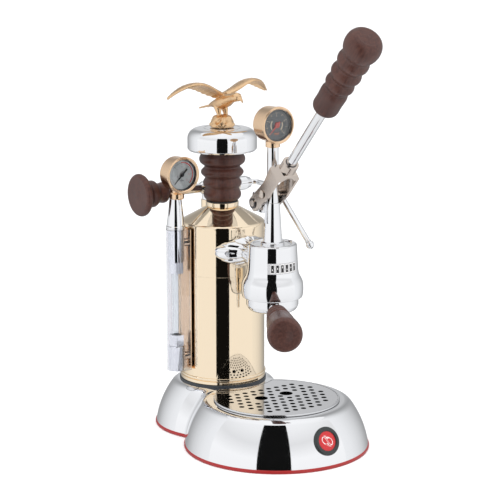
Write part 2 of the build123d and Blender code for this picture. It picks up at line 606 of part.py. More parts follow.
with BuildPart() as filter_basket:
    revolve(*turning([(0, 155), (24.6, 155, 1), (25.4, 173.65), (27.6, 173.65), (27.6, 174.0), (24.9, 174.0),
                      (24.2, 155.6, 1), (0, 155.6)], GROUP_AXIS))
    with BuildSketch(Plane((0, GROUP_Y, 153))) as basket_holes:
        for ring, count in ((4, 6), (9, 12), (14, 18), (19, 24)):
            with PolarLocations(ring, count):
                Circle(0.8)
    extrude(amount=4, mode=Mode.SUBTRACT)
filter_basket.part.label = "filter_basket"

with BuildPart() as portafilter_handle:
    revolve(*turned_wood([(9.2, 38.3), (10.4, 41), (11.4, 45), (10.6, 48), (10.4, 49.6), (11.8, 52.4), (12.6, 55),
                          (11.8, 58), (11.6, 59.6), (13, 62.4), (13.8, 65), (13, 68), (12.9, 69.6), (14.2, 73),
                          (15.4, 82), (16.8, 95), (18.2, 107), (18.4, 113), (17.2, 116.6), (15, 118)],
                         HANDLE_ROOT, HANDLE_ALONG, bore=4.05))
    revolve(*turning([(0, 60), (8, 60), (8, 118), (0, 118.6)], HANDLE_ROOT, HANDLE_ALONG))
portafilter_handle.part.label = "portafilter_handle"

# ---------------------------------------------------------------- sight glass
def to_boiler(x, z):
    """Plane facing the boiler from the sight glass."""
    return Plane((x, 0, z), z_dir=(1, 0, 0))


with BuildPart() as sight_top_fitting:
    revolve(*turning([(5.6, 192.5), (8.9, 192.5, 0.5), (8.9, 229.1), (10.6, 229.1, 0.4), (10.6, 230.4, 0.3),
                      (10.1, 230.7), (10.6, 231, 0.3), (10.6, 232.6, 0.5), (10.0, 233.2), (6.5, 263, 0.4),
                      (0, 263), (0, 201), (5.6, 201)], SIGHT_AXIS))
    with Locations(to_boiler(SIGHT_X + 5, 213)):
        Cylinder(4.5, 14, align=(Align.CENTER, Align.CENTER, Align.MIN))
    with Locations((0, 0, 213)):
        Cylinder(BOILER_RADIUS + 0.02, 30, mode=Mode.SUBTRACT)
sight_top_fitting.part.label = "sight_top_fitting"

with BuildPart() as sight_bottom_fitting:
    revolve(*turning([(0, 70), (9.2, 70, 0.8), (9.2, 98, 0.8), (5.6, 98), (5.6, 96), (0, 96)], SIGHT_AXIS))
    with Locations(to_boiler(SIGHT_X + 5, 84)):
        Cylinder(4.5, 14, align=(Align.CENTER, Align.CENTER, Align.MIN))
    with Locations((0, 0, 84)):
        Cylinder(BOILER_RADIUS + 0.02, 30, mode=Mode.SUBTRACT)
sight_bottom_fitting.part.label = "sight_bottom_fitting"

with BuildPart() as sight_nuts:
    for nut_low in (98.1, 180.2):
        with BuildSketch(Plane((SIGHT_X, 0, nut_low))):
            RegularPolygon(8.6, 6)
            Circle(5.6, mode=Mode.SUBTRACT)
        extrude(amount=12.2)
sight_nuts.part.label = "sight_nuts"

with BuildPart() as sight_glass:
    revolve(*turning([(4.0, 96.2), (5.4, 96.2), (5.4, 200.6), (4.0, 200.6)], SIGHT_AXIS))
sight_glass.part.label = "sight_glass"

COVER_DEPTH = 11.5
with BuildPart() as sight_cover:
    for radius, mode in ((COVER_RADIUS, Mode.ADD), (COVER_RADIUS - 1.1, Mode.SUBTRACT)):
        with BuildSketch(Plane((SIGHT_X, 0, COVER_LOW))):
            Circle(radius)
            Rectangle(COVER_DEPTH + 0.1 if mode == Mode.SUBTRACT else COVER_DEPTH, 2 * radius,
                      align=(Align.MIN, Align.CENTER))
        extrude(amount=229 - COVER_LOW, mode=mode)
sight_cover.part.label = "sight_cover"

with BuildPart() as sight_back_plate:
    with Locations((SIGHT_X + COVER_DEPTH + 0.7, 0, (COVER_LOW + 229) / 2)):
        Box(1.2, 2 * COVER_RADIUS, 229 - COVER_LOW)
    with Locations(to_boiler(SIGHT_X, 213), to_boiler(SIGHT_X, 84)):
        Cylinder(4.6, 60, mode=Mode.SUBTRACT)
sight_back_plate.part.label = "sight_back_plate"

# ---------------------------------------------------------------- gauges
NEEDLE_REST = radians(225)
gauge_pieces = []
for prefix, front, depth, neck, neck_low in (
    ("boiler_gauge", LEFT_GAUGE, LEFT_DEPTH, 5.5, 263.1),
    ("group_gauge", GROUP_GAUGE, GROUP_DEPTH, 7.8, ROD_TOP - 1.9),
):
    neck_y = 0.0 if prefix == "boiler_gauge" else GROUP_Y
    with BuildPart() as case:
        revolve(*turning([(0, -depth), (18.6, -depth, 2.5), (19.2, -4), (GAUGE_RADIUS, -3.4, 0.4),
                          (GAUGE_RADIUS, -0.6, 0.5), (18.2, 0, 0.4), (17.0, -1.2), (17.0, -depth + 1.5),
                          (0, -depth + 1.5)], front, FORWARD))
        neck_top = front.Z - 17.8
        with Locations((front.X, neck_y, neck_low)):
            Cylinder(neck, neck_top - neck_low, align=(Align.CENTER, Align.CENTER, Align.MIN))
        with Locations(Plane(front + Vector(0, 10, 0), z_dir=FORWARD)):
            Cylinder(17.0, 2 * (depth - 1.5 - 10), mode=Mode.SUBTRACT)
        if prefix == "group_gauge":
            with Locations((front.X, neck_y, ROD_TOP)):
                Cylinder(4.05, 9, mode=Mode.SUBTRACT)
    with BuildPart() as dial:
        revolve(*turning([(0.9, -5.6), (16.9, -5.6), (16.9, -4.8), (0.9, -4.8)], front, FORWARD))
    with BuildPart() as glass:
        with Locations(Plane(front + Vector(0, 1.9, 0), z_dir=FORWARD)):
            Cylinder(16.9, 1.2)
    with BuildPart() as needle:
        with BuildSketch(front_plane(front.Y + 3.9, front.X, front.Z)):
            Circle(2.4)
            with BuildLine(mode=Mode.PRIVATE) as pointer:
                tip = (14.2 * cos(NEEDLE_REST), 14.2 * sin(NEEDLE_REST))
                tail = (-5 * cos(NEEDLE_REST), -5 * sin(NEEDLE_REST))
                side = (-0.9 * sin(NEEDLE_REST), 0.9 * cos(NEEDLE_REST))
                Polyline((tip[0] + side[0] / 3, tip[1] + side[1] / 3), (tail[0] + side[0], tail[1] + side[1]),
                         (tail[0] - side[0], tail[1] - side[1]), (tip[0] - side[0] / 3, tip[1] - side[1] / 3),
                         close=True)
            make_face(pointer.edges())
        extrude(amount=0.6)
        with Locations(front_plane(front.Y + 4.9, front.X, front.Z)):
            Cylinder(0.8, 2.4)
    for piece, ending in ((case, "case"), (dial, "dial"), (glass, "glass"), (needle, "needle")):
        piece.part.label = f"{prefix}_{ending}"
        gauge_pieces.append(piece)

# ---------------------------------------------------------------- steam tap
TAP_CENTRE = Vector(0, TAP_Y, TAP_Z)
LEFT = (-1, 0, 0)
RIGHT = (1, 0, 0)
with BuildPart() as steam_valve_body:
    revolve(*turning([(0, -52.8), (7.4, -52.8, 1), (7.4, -45, 1), (5.2, -44), (5.2, -11), (7.2, -8, 2), (7.2, 8, 2),
                      (5.2, 11), (5.2, 44.6), (0, 44.6)], TAP_CENTRE, RIGHT))
    with Locations((0, TAP_Y, 246.5)):
        Cylinder(4.95, 16, align=(Align.CENTER, Align.CENTER, Align.MIN))
    with Locations((0, TAP_Y, 251.7)):
        Cylinder(7, 8, align=(Align.CENTER, Align.CENTER, Align.MIN))
    with Locations(Plane(TAP_CENTRE + Vector(-53, 0, 0), z_dir=RIGHT)):
        Cylinder(4 + RUNNING, 23, align=(Align.CENTER, Align.CENTER, Align.MIN), mode=Mode.SUBTRACT)
    with Locations(Plane(TAP_CENTRE + Vector(-31, 0, 0), z_dir=RIGHT)):
        Cylinder(2, 80, align=(Align.CENTER, Align.CENTER, Align.MIN), mode=Mode.SUBTRACT)
steam_valve_body.part.label = "steam_valve_body"

with BuildPart() as steam_spindle:
    revolve(*turning([(0, 31), (2.4, 31), (4, 34), (4, 79), (0, 79)], TAP_CENTRE, LEFT))
steam_spindle.part.label = "steam_spindle"

with BuildPart() as steam_knob:
    revolve(*turned_wood([(9, 55.6), (10.9, 57.4), (11.5, 61), (10.9, 66), (12.4, 69), (14.6, 72.2), (14.9, 75.5),
                          (14.2, 78.6), (12.8, 80.6), (14.4, 82.2), (19.6, 83.8), (22.8, 86), (23.5, 88.4),
                          (22.6, 90.8), (19.5, 92.2)], TAP_CENTRE, LEFT, bore=4 + RUNNING))
    revolve(*turning([(0, 79.5), (8, 79.5), (8, 92.2), (0, 92.6)], TAP_CENTRE, LEFT))
steam_knob.part.label = "steam_knob"

with BuildPart() as wand_nut:
    revolve(*turning([(5.25, 38), (8, 38, 0.8), (8, 49, 3), (5.6, 55.7, 1), (3.3, 55.7), (3.3, 54), (4.9, 52),
                      (4.9, 44.9), (5.25, 44.6)], TAP_CENTRE, RIGHT))
wand_nut.part.label = "wand_nut"

BALL_X = 49.3
WAND_BEND = Vector(WAND_X, -11.6, TAP_Z)
WAND_TIP = Vector(WAND_X, -73.8, 213.7)
WAND_DOWN = (WAND_TIP - WAND_BEND).normalized()
with BuildPart() as steam_wand:
    with BuildLine():
        FilletPolyline((BALL_X, TAP_Y, TAP_Z), (WAND_X, TAP_Y, TAP_Z), WAND_BEND, WAND_TIP, radius=[8, 24])
    with BuildSketch(Plane((BALL_X, TAP_Y, TAP_Z), z_dir=RIGHT)):
        Circle(WAND_RADIUS)
    sweep()
    revolve(*turning([(0, -4.4), (2.4, -4.0, 1), (4.5, -1.5, 1.5), (4.5, 1.5, 1.5), (2.4, 4.0), (0, 4.0)],
                     (BALL_X, TAP_Y, TAP_Z), RIGHT))
steam_wand.part.label = "steam_wand"

with BuildPart() as steam_tip:
    revolve(*turning([(0, 0.05), (3.4, 0.05, 0.4), (3.4, 2), (4.6, 4, 1.5), (4.6, 7, 1.8), (2.2, 9.6, 0.8),
                      (1, 9.9), (1, 6), (0, 6)], WAND_TIP, WAND_DOWN))
steam_tip.part.label = "steam_tip"

# ---------------------------------------------------------------- write every piece
pieces = [
    base_shell, base_trim, base_plate, badge_ring, badge_disc, switch_housing, switch_rocker,
    cord_gland, drip_tray, drip_grid, boiler_shell, boiler_base_ring, boiler_seal, boiler_nut, heating_element,
    cap_gasket, cap_stud, cap_grip, cap_disc, eagle_finial, group_body, group_bolts, guide_tower,
    cylinder_sleeve, group_gasket, shower_screen, temperature_strip, piston, piston_seals, piston_rod,
    piston_pin, lever_fork, fulcrum_pin, pin_clips, lever_arm, lever_handle, portafilter_body,
    portafilter_spout, filter_basket, portafilter_handle, sight_top_fitting, sight_bottom_fitting,
    sight_nuts, sight_glass, sight_cover, sight_back_plate, steam_valve_body, steam_spindle, steam_knob,
    wand_nut, steam_wand, steam_tip,
]
for piece in pieces + gauge_pieces:
    export_step(piece.part, f"parts/{piece.part.label}.step")
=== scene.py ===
"""Looks of the hand-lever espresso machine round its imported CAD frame: metres, +Z up, -Y to the front."""
import json
from math import asin, atan2, ceil, copysign, cos, pi, radians, sin, sqrt, tan

import bmesh
import bpy
from mathutils import Matrix, Vector


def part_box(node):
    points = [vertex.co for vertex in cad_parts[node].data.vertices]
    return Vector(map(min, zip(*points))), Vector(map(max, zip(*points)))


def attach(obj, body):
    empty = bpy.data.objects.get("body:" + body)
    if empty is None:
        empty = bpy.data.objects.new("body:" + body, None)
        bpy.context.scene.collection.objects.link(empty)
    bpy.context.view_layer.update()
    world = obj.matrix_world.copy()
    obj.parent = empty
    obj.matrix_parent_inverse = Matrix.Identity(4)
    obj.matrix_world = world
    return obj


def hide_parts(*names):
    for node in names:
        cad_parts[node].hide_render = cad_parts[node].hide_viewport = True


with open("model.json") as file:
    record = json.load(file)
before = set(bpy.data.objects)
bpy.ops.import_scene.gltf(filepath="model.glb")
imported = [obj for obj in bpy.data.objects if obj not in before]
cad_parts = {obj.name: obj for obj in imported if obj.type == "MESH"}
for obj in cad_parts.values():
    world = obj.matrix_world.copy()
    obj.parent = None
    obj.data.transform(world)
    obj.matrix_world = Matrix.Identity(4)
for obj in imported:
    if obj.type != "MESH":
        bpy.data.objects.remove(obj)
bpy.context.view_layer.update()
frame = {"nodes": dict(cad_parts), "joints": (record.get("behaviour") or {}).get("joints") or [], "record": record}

MM = 0.001
UP = Vector((0, 0, 1))
FRONT = Vector((0, -1, 0))
LEFT = Vector((-1, 0, 0))
NODES = frame["nodes"]
JOINTS = {joint["name"]: joint for joint in frame["joints"]}
BODY_OF = {n: body for body, members in frame["record"]["behaviour"]["bodies"].items() for n in members}


# ---- places from the frame
def low(node):
    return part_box(node)[0]


def high(node):
    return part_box(node)[1]


def centre(node):
    lo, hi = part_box(node)
    return (lo + hi) / 2


def foot(node):
    """Lowest point of a node's upright axis."""
    middle = centre(node)
    return Vector((middle.x, middle.y, low(node).z))


def joint_place(name):
    return Vector(JOINTS[name]["pos_m"])


LEVER_PIN = joint_place("lever_swing")
LEVER_ALONG = (centre("lever_arm") - LEVER_PIN).normalized()
GROUP_Y = joint_place("portafilter_turn").y
HANDLE_TURN = radians(JOINTS["portafilter_turn"]["range_deg"][1])
HANDLE_DROP = radians(3.0)
HANDLE_ALONG = Vector((-sin(HANDLE_TURN) * cos(HANDLE_DROP), -cos(HANDLE_TURN) * cos(HANDLE_DROP),
                       -sin(HANDLE_DROP)))


# ---- materials
def fill_ramp(node, stops):
    """Gives a colour ramp its (position, colour) stops."""
    elements = node.color_ramp.elements
    while len(elements) < len(stops):
        elements.new(0.5)
    for element, (position, colour) in zip(elements, stops):
        element.position = position
        element.color = (*colour, 1)


class Finish:
    """A procedural material: a Principled shader with helpers that add noise to its sockets."""

    def __init__(self, name, colour, metallic=0.0, roughness=0.5, **sockets):
        self.material = bpy.data.materials.new(name)
        self.material.use_nodes = True
        self.nodes = self.material.node_tree.nodes
        self.links = self.material.node_tree.links
        self.shader = self.nodes["Principled BSDF"]
        self.shader.inputs["Base Color"].default_value = (*colour, 1)
        self.shader.inputs["Metallic"].default_value = metallic
        self.shader.inputs["Roughness"].default_value = roughness
        for key, value in sockets.items():
            self.shader.inputs[key.replace("_", " ")].default_value = value
        self.place = self.nodes.new("ShaderNodeTexCoord")
        self.height = None
        self.grain = None

    def add(self, kind, source, socket, **values):
        """Adds a node fed by a source through one socket, with its other sockets' values."""
        node = self.nodes.new(kind)
        for key, value in values.items():
            node.inputs[key.replace("_", " ")].default_value = value
        self.links.new(source, node.inputs[socket])
        return node.outputs

    def stretched(self, stretch):
        """Object coordinates in metres, turned so that the grain's axis is Z, then stretched."""
        vector = self.place.outputs["Object"]
        if self.grain is not None:
            turn = self.grain.rotation_difference(UP).to_euler()
            vector = self.add("ShaderNodeMapping", vector, "Vector", Rotation=turn)["Vector"]
        return self.add("ShaderNodeMapping", vector, "Vector", Scale=stretch)["Vector"]

    def noise(self, size, stretch=(1, 1, 1), detail=4.0, rough=0.55):
        """Noise whose features measure about size metres."""
        return self.add("ShaderNodeTexNoise", self.stretched(stretch), "Vector", Scale=1 / size,
                        Detail=detail, Roughness=rough)["Fac"]

    def cells(self, size, stretch):
        """Distance from the middles of irregular cells that measure about size metres."""
        return self.add("ShaderNodeTexVoronoi", self.stretched(stretch), "Vector", Scale=1 / size)["Distance"]

    def upward(self, output):
        """Z of one of the object's own coordinates, such as its normal."""
        return self.add("ShaderNodeSeparateXYZ", self.place.outputs[output], "Vector")["Z"]

    def spread(self, value, start, end, low_value, high_value):
        """Maps a value's start..end to low_value..high_value."""
        return self.add("ShaderNodeMapRange", value, "Value", From_Min=start, From_Max=end, To_Min=low_value,
                        To_Max=high_value)["Result"]

    def ramp(self, value, *stops):
        """Colours by value, from (position, colour) stops."""
        node = self.nodes.new("ShaderNodeValToRGB")
        fill_ramp(node, stops)
        self.links.new(value, node.inputs["Fac"])
        return node.outputs["Color"]

    def into(self, socket, value):
        self.links.new(value, self.shader.inputs[socket])

    def bump(self, value, strength, depth):
        """Adds relief of a depth in metres."""
        normal = self.add("ShaderNodeBump", value, "Height", Strength=strength, Distance=depth)["Normal"]
        if self.height:
            self.links.new(self.height, normal.node.inputs["Normal"])
        self.height = normal
        self.links.new(self.height, self.shader.inputs["Normal"])


def polished(name, colour, roughness, smudge=0.03):
    """Plated metal: near mirror, with faint smudges and hairlines."""
    finish = Finish(name, colour, metallic=1.0, roughness=roughness)
    smear = finish.noise(0.03, detail=6)
    finish.into("Roughness", finish.spread(smear, 0.35, 0.75, roughness, roughness + smudge))
    finish.bump(finish.noise(0.0012, (1, 1, 0.12), detail=2), 0.02, 0.00002)
    return finish.material


def cast_metal(name, colour, roughness):
    """Polished casting with softer, slightly uneven surface."""
    finish = Finish(name, colour, metallic=1.0, roughness=roughness)
    patches = finish.noise(0.006, detail=5)
    finish.into("Roughness", finish.spread(patches, 0.3, 0.7, roughness * 0.75, roughness * 1.5))
    finish.bump(finish.noise(0.0009, detail=3), 0.12, 0.00006)
    finish.bump(patches, 0.15, 0.00025)
    return finish.material


def brushed(name, colour, roughness, stretch):
    """Steel with fine parallel brush marks."""
    finish = Finish(name, colour, metallic=1.0, roughness=roughness)
    marks = finish.noise(0.0006, stretch, detail=5, rough=0.7)
    finish.into("Roughness", finish.spread(marks, 0.3, 0.7, roughness * 0.7, roughness * 1.4))
    finish.bump(marks, 0.25, 0.00003)
    return finish.material


def pierced_plate(name, colour, roughness):
    """Polished sheet whose cut edges and hole walls, square to its face, are painted dark as shade."""
    finish = Finish(name, colour, metallic=1.0, roughness=roughness)
    # Painted shade: faces square to the sheet, in the holes and round its rim, get a near-black colour.
    dark = tuple(0.05 * c for c in colour)
    finish.into("Base Color", finish.ramp(finish.upward("Normal"), (0.35, dark), (0.75, colour)))
    smear = finish.noise(0.02, detail=6)
    finish.into("Roughness", finish.spread(smear, 0.35, 0.75, roughness, roughness + 0.05))
    finish.bump(finish.noise(0.0012, (0.05, 1, 1), detail=3), 0.03, 0.00002)
    return finish.material


def deep_tray(name, colour, roughness):
    """Steel tray: bright round its rim, rougher down in its well and painted dark there as shade under the grid.
    """
    finish = Finish(name, colour, metallic=1.0, roughness=roughness)
    rim = high("drip_tray").z
    depth = finish.spread(finish.upward("Object"), rim - 0.0022, rim - 0.0012, 0.0, 1.0)
    # Painted shade: below the rim the colour falls to 0.12 of the steel's, for the shade in the well.
    painted_well_shade = tuple(0.12 * c for c in colour)
    finish.into("Base Color", finish.ramp(depth, (0.0, painted_well_shade), (1.0, colour)))
    finish.into("Roughness", finish.spread(depth, 0.0, 1.0, 0.4, roughness))
    finish.bump(finish.noise(0.0012, detail=3), 0.05, 0.00003)
    return finish.material


def stained_wood(name, along):
    """Dark stained beech under satin lacquer, its grain along an axis."""
    finish = Finish(name, (0.05, 0.016, 0.011), roughness=0.42, Coat_Weight=0.22, Coat_Roughness=0.22)
    finish.grain = Vector(along)
    finish.shader.inputs["Specular IOR Level"].default_value = 0.42
    grain = finish.noise(0.0022, (1, 1, 0.07), detail=7, rough=0.62)
    figure = finish.noise(0.014, (1, 1, 0.22), detail=3)
    flecks = finish.cells(0.0013, (1, 1, 0.16))
    mix = finish.nodes.new("ShaderNodeMix")
    mix.inputs["Factor"].default_value = 0.35
    finish.links.new(grain, mix.inputs["A"])
    finish.links.new(figure, mix.inputs["B"])
    shades = ((0.30, (0.028, 0.0085, 0.006)), (0.48, (0.052, 0.0165, 0.0115)),
              (0.62, (0.075, 0.026, 0.0175)), (0.78, (0.046, 0.0145, 0.010)))
    finish.into("Base Color", finish.ramp(mix.outputs["Result"], *shades))
    finish.into("Roughness", finish.spread(grain, 0.3, 0.7, 0.36, 0.52))
    finish.bump(finish.spread(flecks, 0.0, 0.25, 0.0, 1.0), 0.10, 0.00012)
    finish.bump(grain, 0.16, 0.00018)
    return finish.material


def moulded(name, colour, roughness, coat=0.0):
    """Plastic or rubber with a fine moulded grain."""
    finish = Finish(name, colour, roughness=roughness, Coat_Weight=coat, Coat_Roughness=0.08)
    grain = finish.noise(0.0007, detail=3)
    finish.into("Roughness", finish.spread(grain, 0.3, 0.7, roughness * 0.85, roughness * 1.15))
    finish.bump(grain, 0.10, 0.00005)
    return finish.material


def clear(name, colour, index):
    """Glass or clear acrylic with a trace of dust in its gloss."""
    finish = Finish(name, colour, roughness=0.0, Transmission_Weight=1.0, IOR=index)
    finish.into("Roughness", finish.spread(finish.noise(0.02), 0.4, 0.8, 0.0, 0.008))
    return finish.material


def printed(name, colour):
    """Dial face: matt lacquer with a very fine metallic mottling."""
    finish = Finish(name, colour, metallic=0.25, roughness=0.5)
    speck = finish.noise(0.0006, detail=2)
    shades = [tuple(c * f for c in colour) for f in (0.92, 1.05)]
    finish.into("Base Color", finish.ramp(speck, (0.3, shades[0]), (0.7, shades[1])))
    return finish.material


CHROME = polished("chrome", (0.88, 0.885, 0.90), 0.035)
BOILER_GOLD = polished("boiler_gold", (0.94, 0.79, 0.59), 0.045)
GAUGE_GOLD = polished("gauge_gold", (0.88, 0.63, 0.42), 0.17, 0.08)
EAGLE_GOLD = cast_metal("eagle_gold", (0.84, 0.57, 0.33), 0.26)
NICKEL = polished("fork_nickel", (0.62, 0.545, 0.485), 0.15, 0.08)
STEEL = brushed("brushed_steel", (0.70, 0.705, 0.72), 0.22, (0.03, 1, 1))
GRID_STEEL = pierced_plate("grid_steel", (0.80, 0.80, 0.815), 0.06)
TRAY_STEEL = deep_tray("tray_steel", (0.74, 0.745, 0.76), 0.12)
CLIP_STEEL = polished("clip_steel", (0.16, 0.15, 0.15), 0.25)
SEAL_RUBBER = moulded("seal_rubber", (0.03, 0.035, 0.042), 0.4)
BLACK_RUBBER = moulded("black_rubber", (0.025, 0.025, 0.028), 0.6)
RED_RUBBER = moulded("red_rubber", (0.30, 0.008, 0.008), 0.36, 0.08)
BLACK_PLASTIC = moulded("black_plastic", (0.02, 0.02, 0.022), 0.42)
RED_ENAMEL = moulded("red_enamel", (0.44, 0.010, 0.013), 0.3, 0.3)
WHITE_ENAMEL = moulded("white_enamel", (0.74, 0.73, 0.72), 0.3, 0.2)
GREY_RING = moulded("grey_ring", (0.018, 0.022, 0.022), 0.34, 0.1)
CLEAR_GLASS = clear("clear_glass", (0.97, 0.99, 0.99), 1.46)
CLEAR_COVER = clear("clear_cover", (0.75, 0.757, 0.785), 1.45)
SILVER_DIAL = printed("silver_dial", (0.52, 0.53, 0.54))
DARK_DIAL = printed("dark_dial", (0.085, 0.09, 0.10))
INK = moulded("ink_black", (0.012, 0.012, 0.014), 0.5)
RED_INK = moulded("ink_red", (0.60, 0.03, 0.02), 0.5)
PALE_INK = moulded("ink_pale", (0.72, 0.60, 0.40), 0.5)
ORANGE_PAINT = moulded("orange_paint", (0.80, 0.20, 0.05), 0.4)
RED_PAINT = moulded("red_paint", (0.62, 0.05, 0.03), 0.4)
LABEL = moulded("label_white", (0.42, 0.42, 0.43), 0.35, 0.3)


# ---- mesh helpers
def placed(name, data):
    """Adds an object with some data to the scene."""
    obj = bpy.data.objects.new(name, data)
    bpy.context.scene.collection.objects.link(obj)
    return obj


def smooth(mesh, angle):
    """Smooth shading, with edges sharper than angle kept crisp."""
    mesh.shade_smooth()
    mesh.set_sharp_from_angle(angle=radians(angle))


def make_piece(name, mesh, material, body, slot, replaces=(), matrix=None, angle=32.0):
    """Puts a mesh in the scene as a piece of a body; an angle of None leaves it flat."""
    mesh.materials.append(material)
    obj = placed(name, mesh)
    if matrix is not None:
        obj.matrix_world = matrix
    if angle:
        smooth(mesh, angle)
    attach(obj, body)
    if replaces:
        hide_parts(*replaces)
    return obj


def add_piece(name, vertices, faces, *details, **options):
    """A piece from vertices and faces, with the rest as make_piece takes it."""
    mesh = bpy.data.meshes.new(name)
    mesh.from_pydata([tuple(v) for v in vertices], [], faces)
    mesh.validate()
    return make_piece(name, mesh, *details, **options)


def axis_frame(at, along, across=None):
    """Matrix whose Z is along a turning axis and whose X leans towards across."""
    z = Vector(along).normalized()
    if across is None:
        across = FRONT if abs(z.y) < 0.9 else UP
    x = (across - z * across.dot(z)).normalized()
    y = z.cross(x)
    return Matrix.Translation(at) @ Matrix((x, y, z)).transposed().to_4x4()


def rounded(points, step=radians(15)):
    """A profile of (radius, height[, rounding]) points in millimetres with its corners rounded."""
    result = []
    for i, point in enumerate(points):
        here = Vector(point[:2])
        rounding = point[2] if len(point) > 2 else 0
        if not rounding or i in (0, len(points) - 1):
            result.append(here)
            continue
        before = Vector(points[i - 1][:2]) - here
        after = Vector(points[i + 1][:2]) - here
        reach_limit = 0.49 * min(before.length, after.length)
        before.normalize()
        after.normalize()
        half = before.angle(after) / 2
        reach = min(rounding / tan(half), reach_limit)
        radius = reach * tan(half)
        start, end = here + before * reach, here + after * reach
        hub = here + (before + after).normalized() * radius / sin(half)
        turn = pi - 2 * half
        count = max(2, round(turn / step))
        a, b = start - hub, end - hub
        for k in range(count + 1):
            t = k / count
            result.append(hub + (a * sin((1 - t) * turn) + b * sin(t * turn)) / sin(turn))
    return result


def with_ends(points):
    """Points as vectors, and one more beyond each end, as a spline needs."""
    spaced = [Vector(p) for p in points]
    return [2 * spaced[0] - spaced[1], *spaced, 2 * spaced[-1] - spaced[-2]]


def spline_point(p0, p1, p2, p3, t):
    """Catmull-Rom point between p1 and p2."""
    return 0.5 * (2 * p1 + (p2 - p0) * t + (2 * p0 - 5 * p1 + 4 * p2 - p3) * t * t
                  + (3 * p1 - p0 - 3 * p2 + p3) * t ** 3)


def flowing(points, steps):
    """A smooth curve through (radius, height) points in millimetres."""
    ends = with_ends(points)
    curve = [spline_point(*ends[i:i + 4], k / steps) for i in range(len(points) - 1) for k in range(steps)]
    return [*curve, ends[-2]]


def arc_points(hub, radius, start, turn, count):
    """Points along an arc, without its last one."""
    turns = [start + turn * k / count for k in range(count)]
    return [Vector((hub[0] + radius * cos(t), hub[1] + radius * sin(t))) for t in turns]


def full_turn(count):
    """Angles of equal steps round a whole turn."""
    return [2 * pi * k / count for k in range(count)]


def banded(rings):
    """Vertices and faces of a skin through closed rings of equally many points."""
    count = len(rings[0])
    faces = []
    for start in range(0, count * (len(rings) - 1), count):
        for k in range(count):
            after = (k + 1) % count
            faces.append((start + k, start + after, start + count + after, start + count + k))
    return [p for ring in rings for p in ring], faces


def lathe(name, profile, at, along, material, body, slot, replaces=(), segments=96, angle=32.0):
    """Turns a profile of (radius, distance) points, in millimetres, about an axis."""
    vertices, faces, rings = [], [], []
    for radius, distance in profile:
        if radius < 1e-4:
            rings.append([len(vertices)])
            vertices.append((0, 0, distance * MM))
            continue
        rings.append(list(range(len(vertices), len(vertices) + segments)))
        for turn in full_turn(segments):
            vertices.append((radius * MM * cos(turn), radius * MM * sin(turn), distance * MM))
    for one, two in zip(rings, rings[1:]):
        for k in range(segments):
            after = (k + 1) % segments
            if len(one) == 1:
                faces.append((one[0], two[after], two[k]))
            elif len(two) == 1:
                faces.append((one[k], one[after], two[0]))
            else:
                faces.append((one[k], one[after], two[after], two[k]))
    add_piece(name, vertices, faces, material, body, slot, replaces, axis_frame(at, along), angle)


def strips(name, quads, material, body, slot, place):
    """Loose flat quads, such as printed marks."""
    vertices = [v for quad in quads for v in quad]
    faces = [tuple(range(start, start + 4)) for start in range(0, len(vertices), 4)]
    add_piece(name, vertices, faces, material, body, slot, matrix=place, angle=None)


def dress(node, material, bevel):
    """Gives a CAD node its material and, where asked, softened edges."""
    obj = NODES[node]
    obj.data.materials.clear()
    obj.data.materials.append(material)
    if bevel:
        weld = obj.modifiers.new("weld", "WELD")
        weld.merge_threshold = 0.000002
        edge = obj.modifiers.new("bevel", "BEVEL")
        edge.width = bevel * MM
        edge.segments = 3
        edge.limit_method = "ANGLE"
        edge.angle_limit = radians(35)
        edge.harden_normals = True


# ---- CAD nodes that keep their shape
UPRIGHT_WOOD = stained_wood("dark_wood_upright", UP)
LEVER_WOOD = stained_wood("dark_wood_lever", LEVER_ALONG)
PORTA_WOOD = stained_wood("dark_wood_portafilter", HANDLE_ALONG)
KNOB_WOOD = stained_wood("dark_wood_knob", LEFT)

DRESSED = (
    (CHROME, "guide_tower piston_rod portafilter_body portafilter_spout sight_top_fitting"
             " sight_bottom_fitting sight_nuts steam_valve_body wand_nut steam_wand steam_tip"),
    (NICKEL, "piston_pin fulcrum_pin lever_fork"),
    (STEEL, "boiler_nut heating_element group_bolts shower_screen filter_basket steam_spindle"),
    (BOILER_GOLD, "boiler_base_ring cap_stud boiler_shell"),
    (GAUGE_GOLD, "cylinder_sleeve piston sight_back_plate boiler_gauge_case group_gauge_case"),
    (CLEAR_GLASS, "sight_glass boiler_gauge_glass group_gauge_glass"), (CLEAR_COVER, "sight_cover"),
    (SILVER_DIAL, "boiler_gauge_dial"), (DARK_DIAL, "group_gauge_dial"), (LABEL, "temperature_strip"),
    (TRAY_STEEL, "drip_tray"), (GRID_STEEL, "drip_grid"), (CLIP_STEEL, "pin_clips"),
    (BLACK_PLASTIC, "base_plate switch_housing"), (RED_ENAMEL, "switch_rocker"), (SEAL_RUBBER, "boiler_seal"),
    (BLACK_RUBBER, "cord_gland cap_gasket group_gasket piston_seals"),
    (UPRIGHT_WOOD, "cap_grip"), (LEVER_WOOD, "lever_handle"), (PORTA_WOOD, "portafilter_handle"),
    (KNOB_WOOD, "steam_knob"),
)
SOFTENED = {"lever_fork": 0.45, "group_bolts": 0.3, "boiler_nut": 0.6, "switch_rocker": 0.5}
for finish_material, node_names in DRESSED:
    for node_name in node_names.split():
        dress(node_name, finish_material, SOFTENED.get(node_name, 0.0))


# ---- base
BASE_LOW, BASE_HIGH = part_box("base_shell")
FRONT_RADIUS = (BASE_HIGH.x - BASE_LOW.x) / 2 / MM
LOBE_CENTRE = BASE_LOW.y / MM + FRONT_RADIUS
REAR_RADIUS = 75.4
WAIST_ROUNDING = 11.0
BASE_TOP = BASE_HIGH.z / MM
WALL_FOOT = 3.0
WALL_RADIUS = 100.0
WALL_LEAN = radians(8.0)
WALL_END = radians(35.6)
EDGE_RADIUS = 11.7
TRAY_RADIUS = (high("drip_tray").x - low("drip_tray").x) / 2 / MM
TRAY_HOLLOW = 57.6
MOUTH_INSET = 3.8
SHEET = 1.2
LOBE_STEPS, WAIST_STEPS, REAR_STEPS = 168, 24, 96
WALL_STEPS = 16


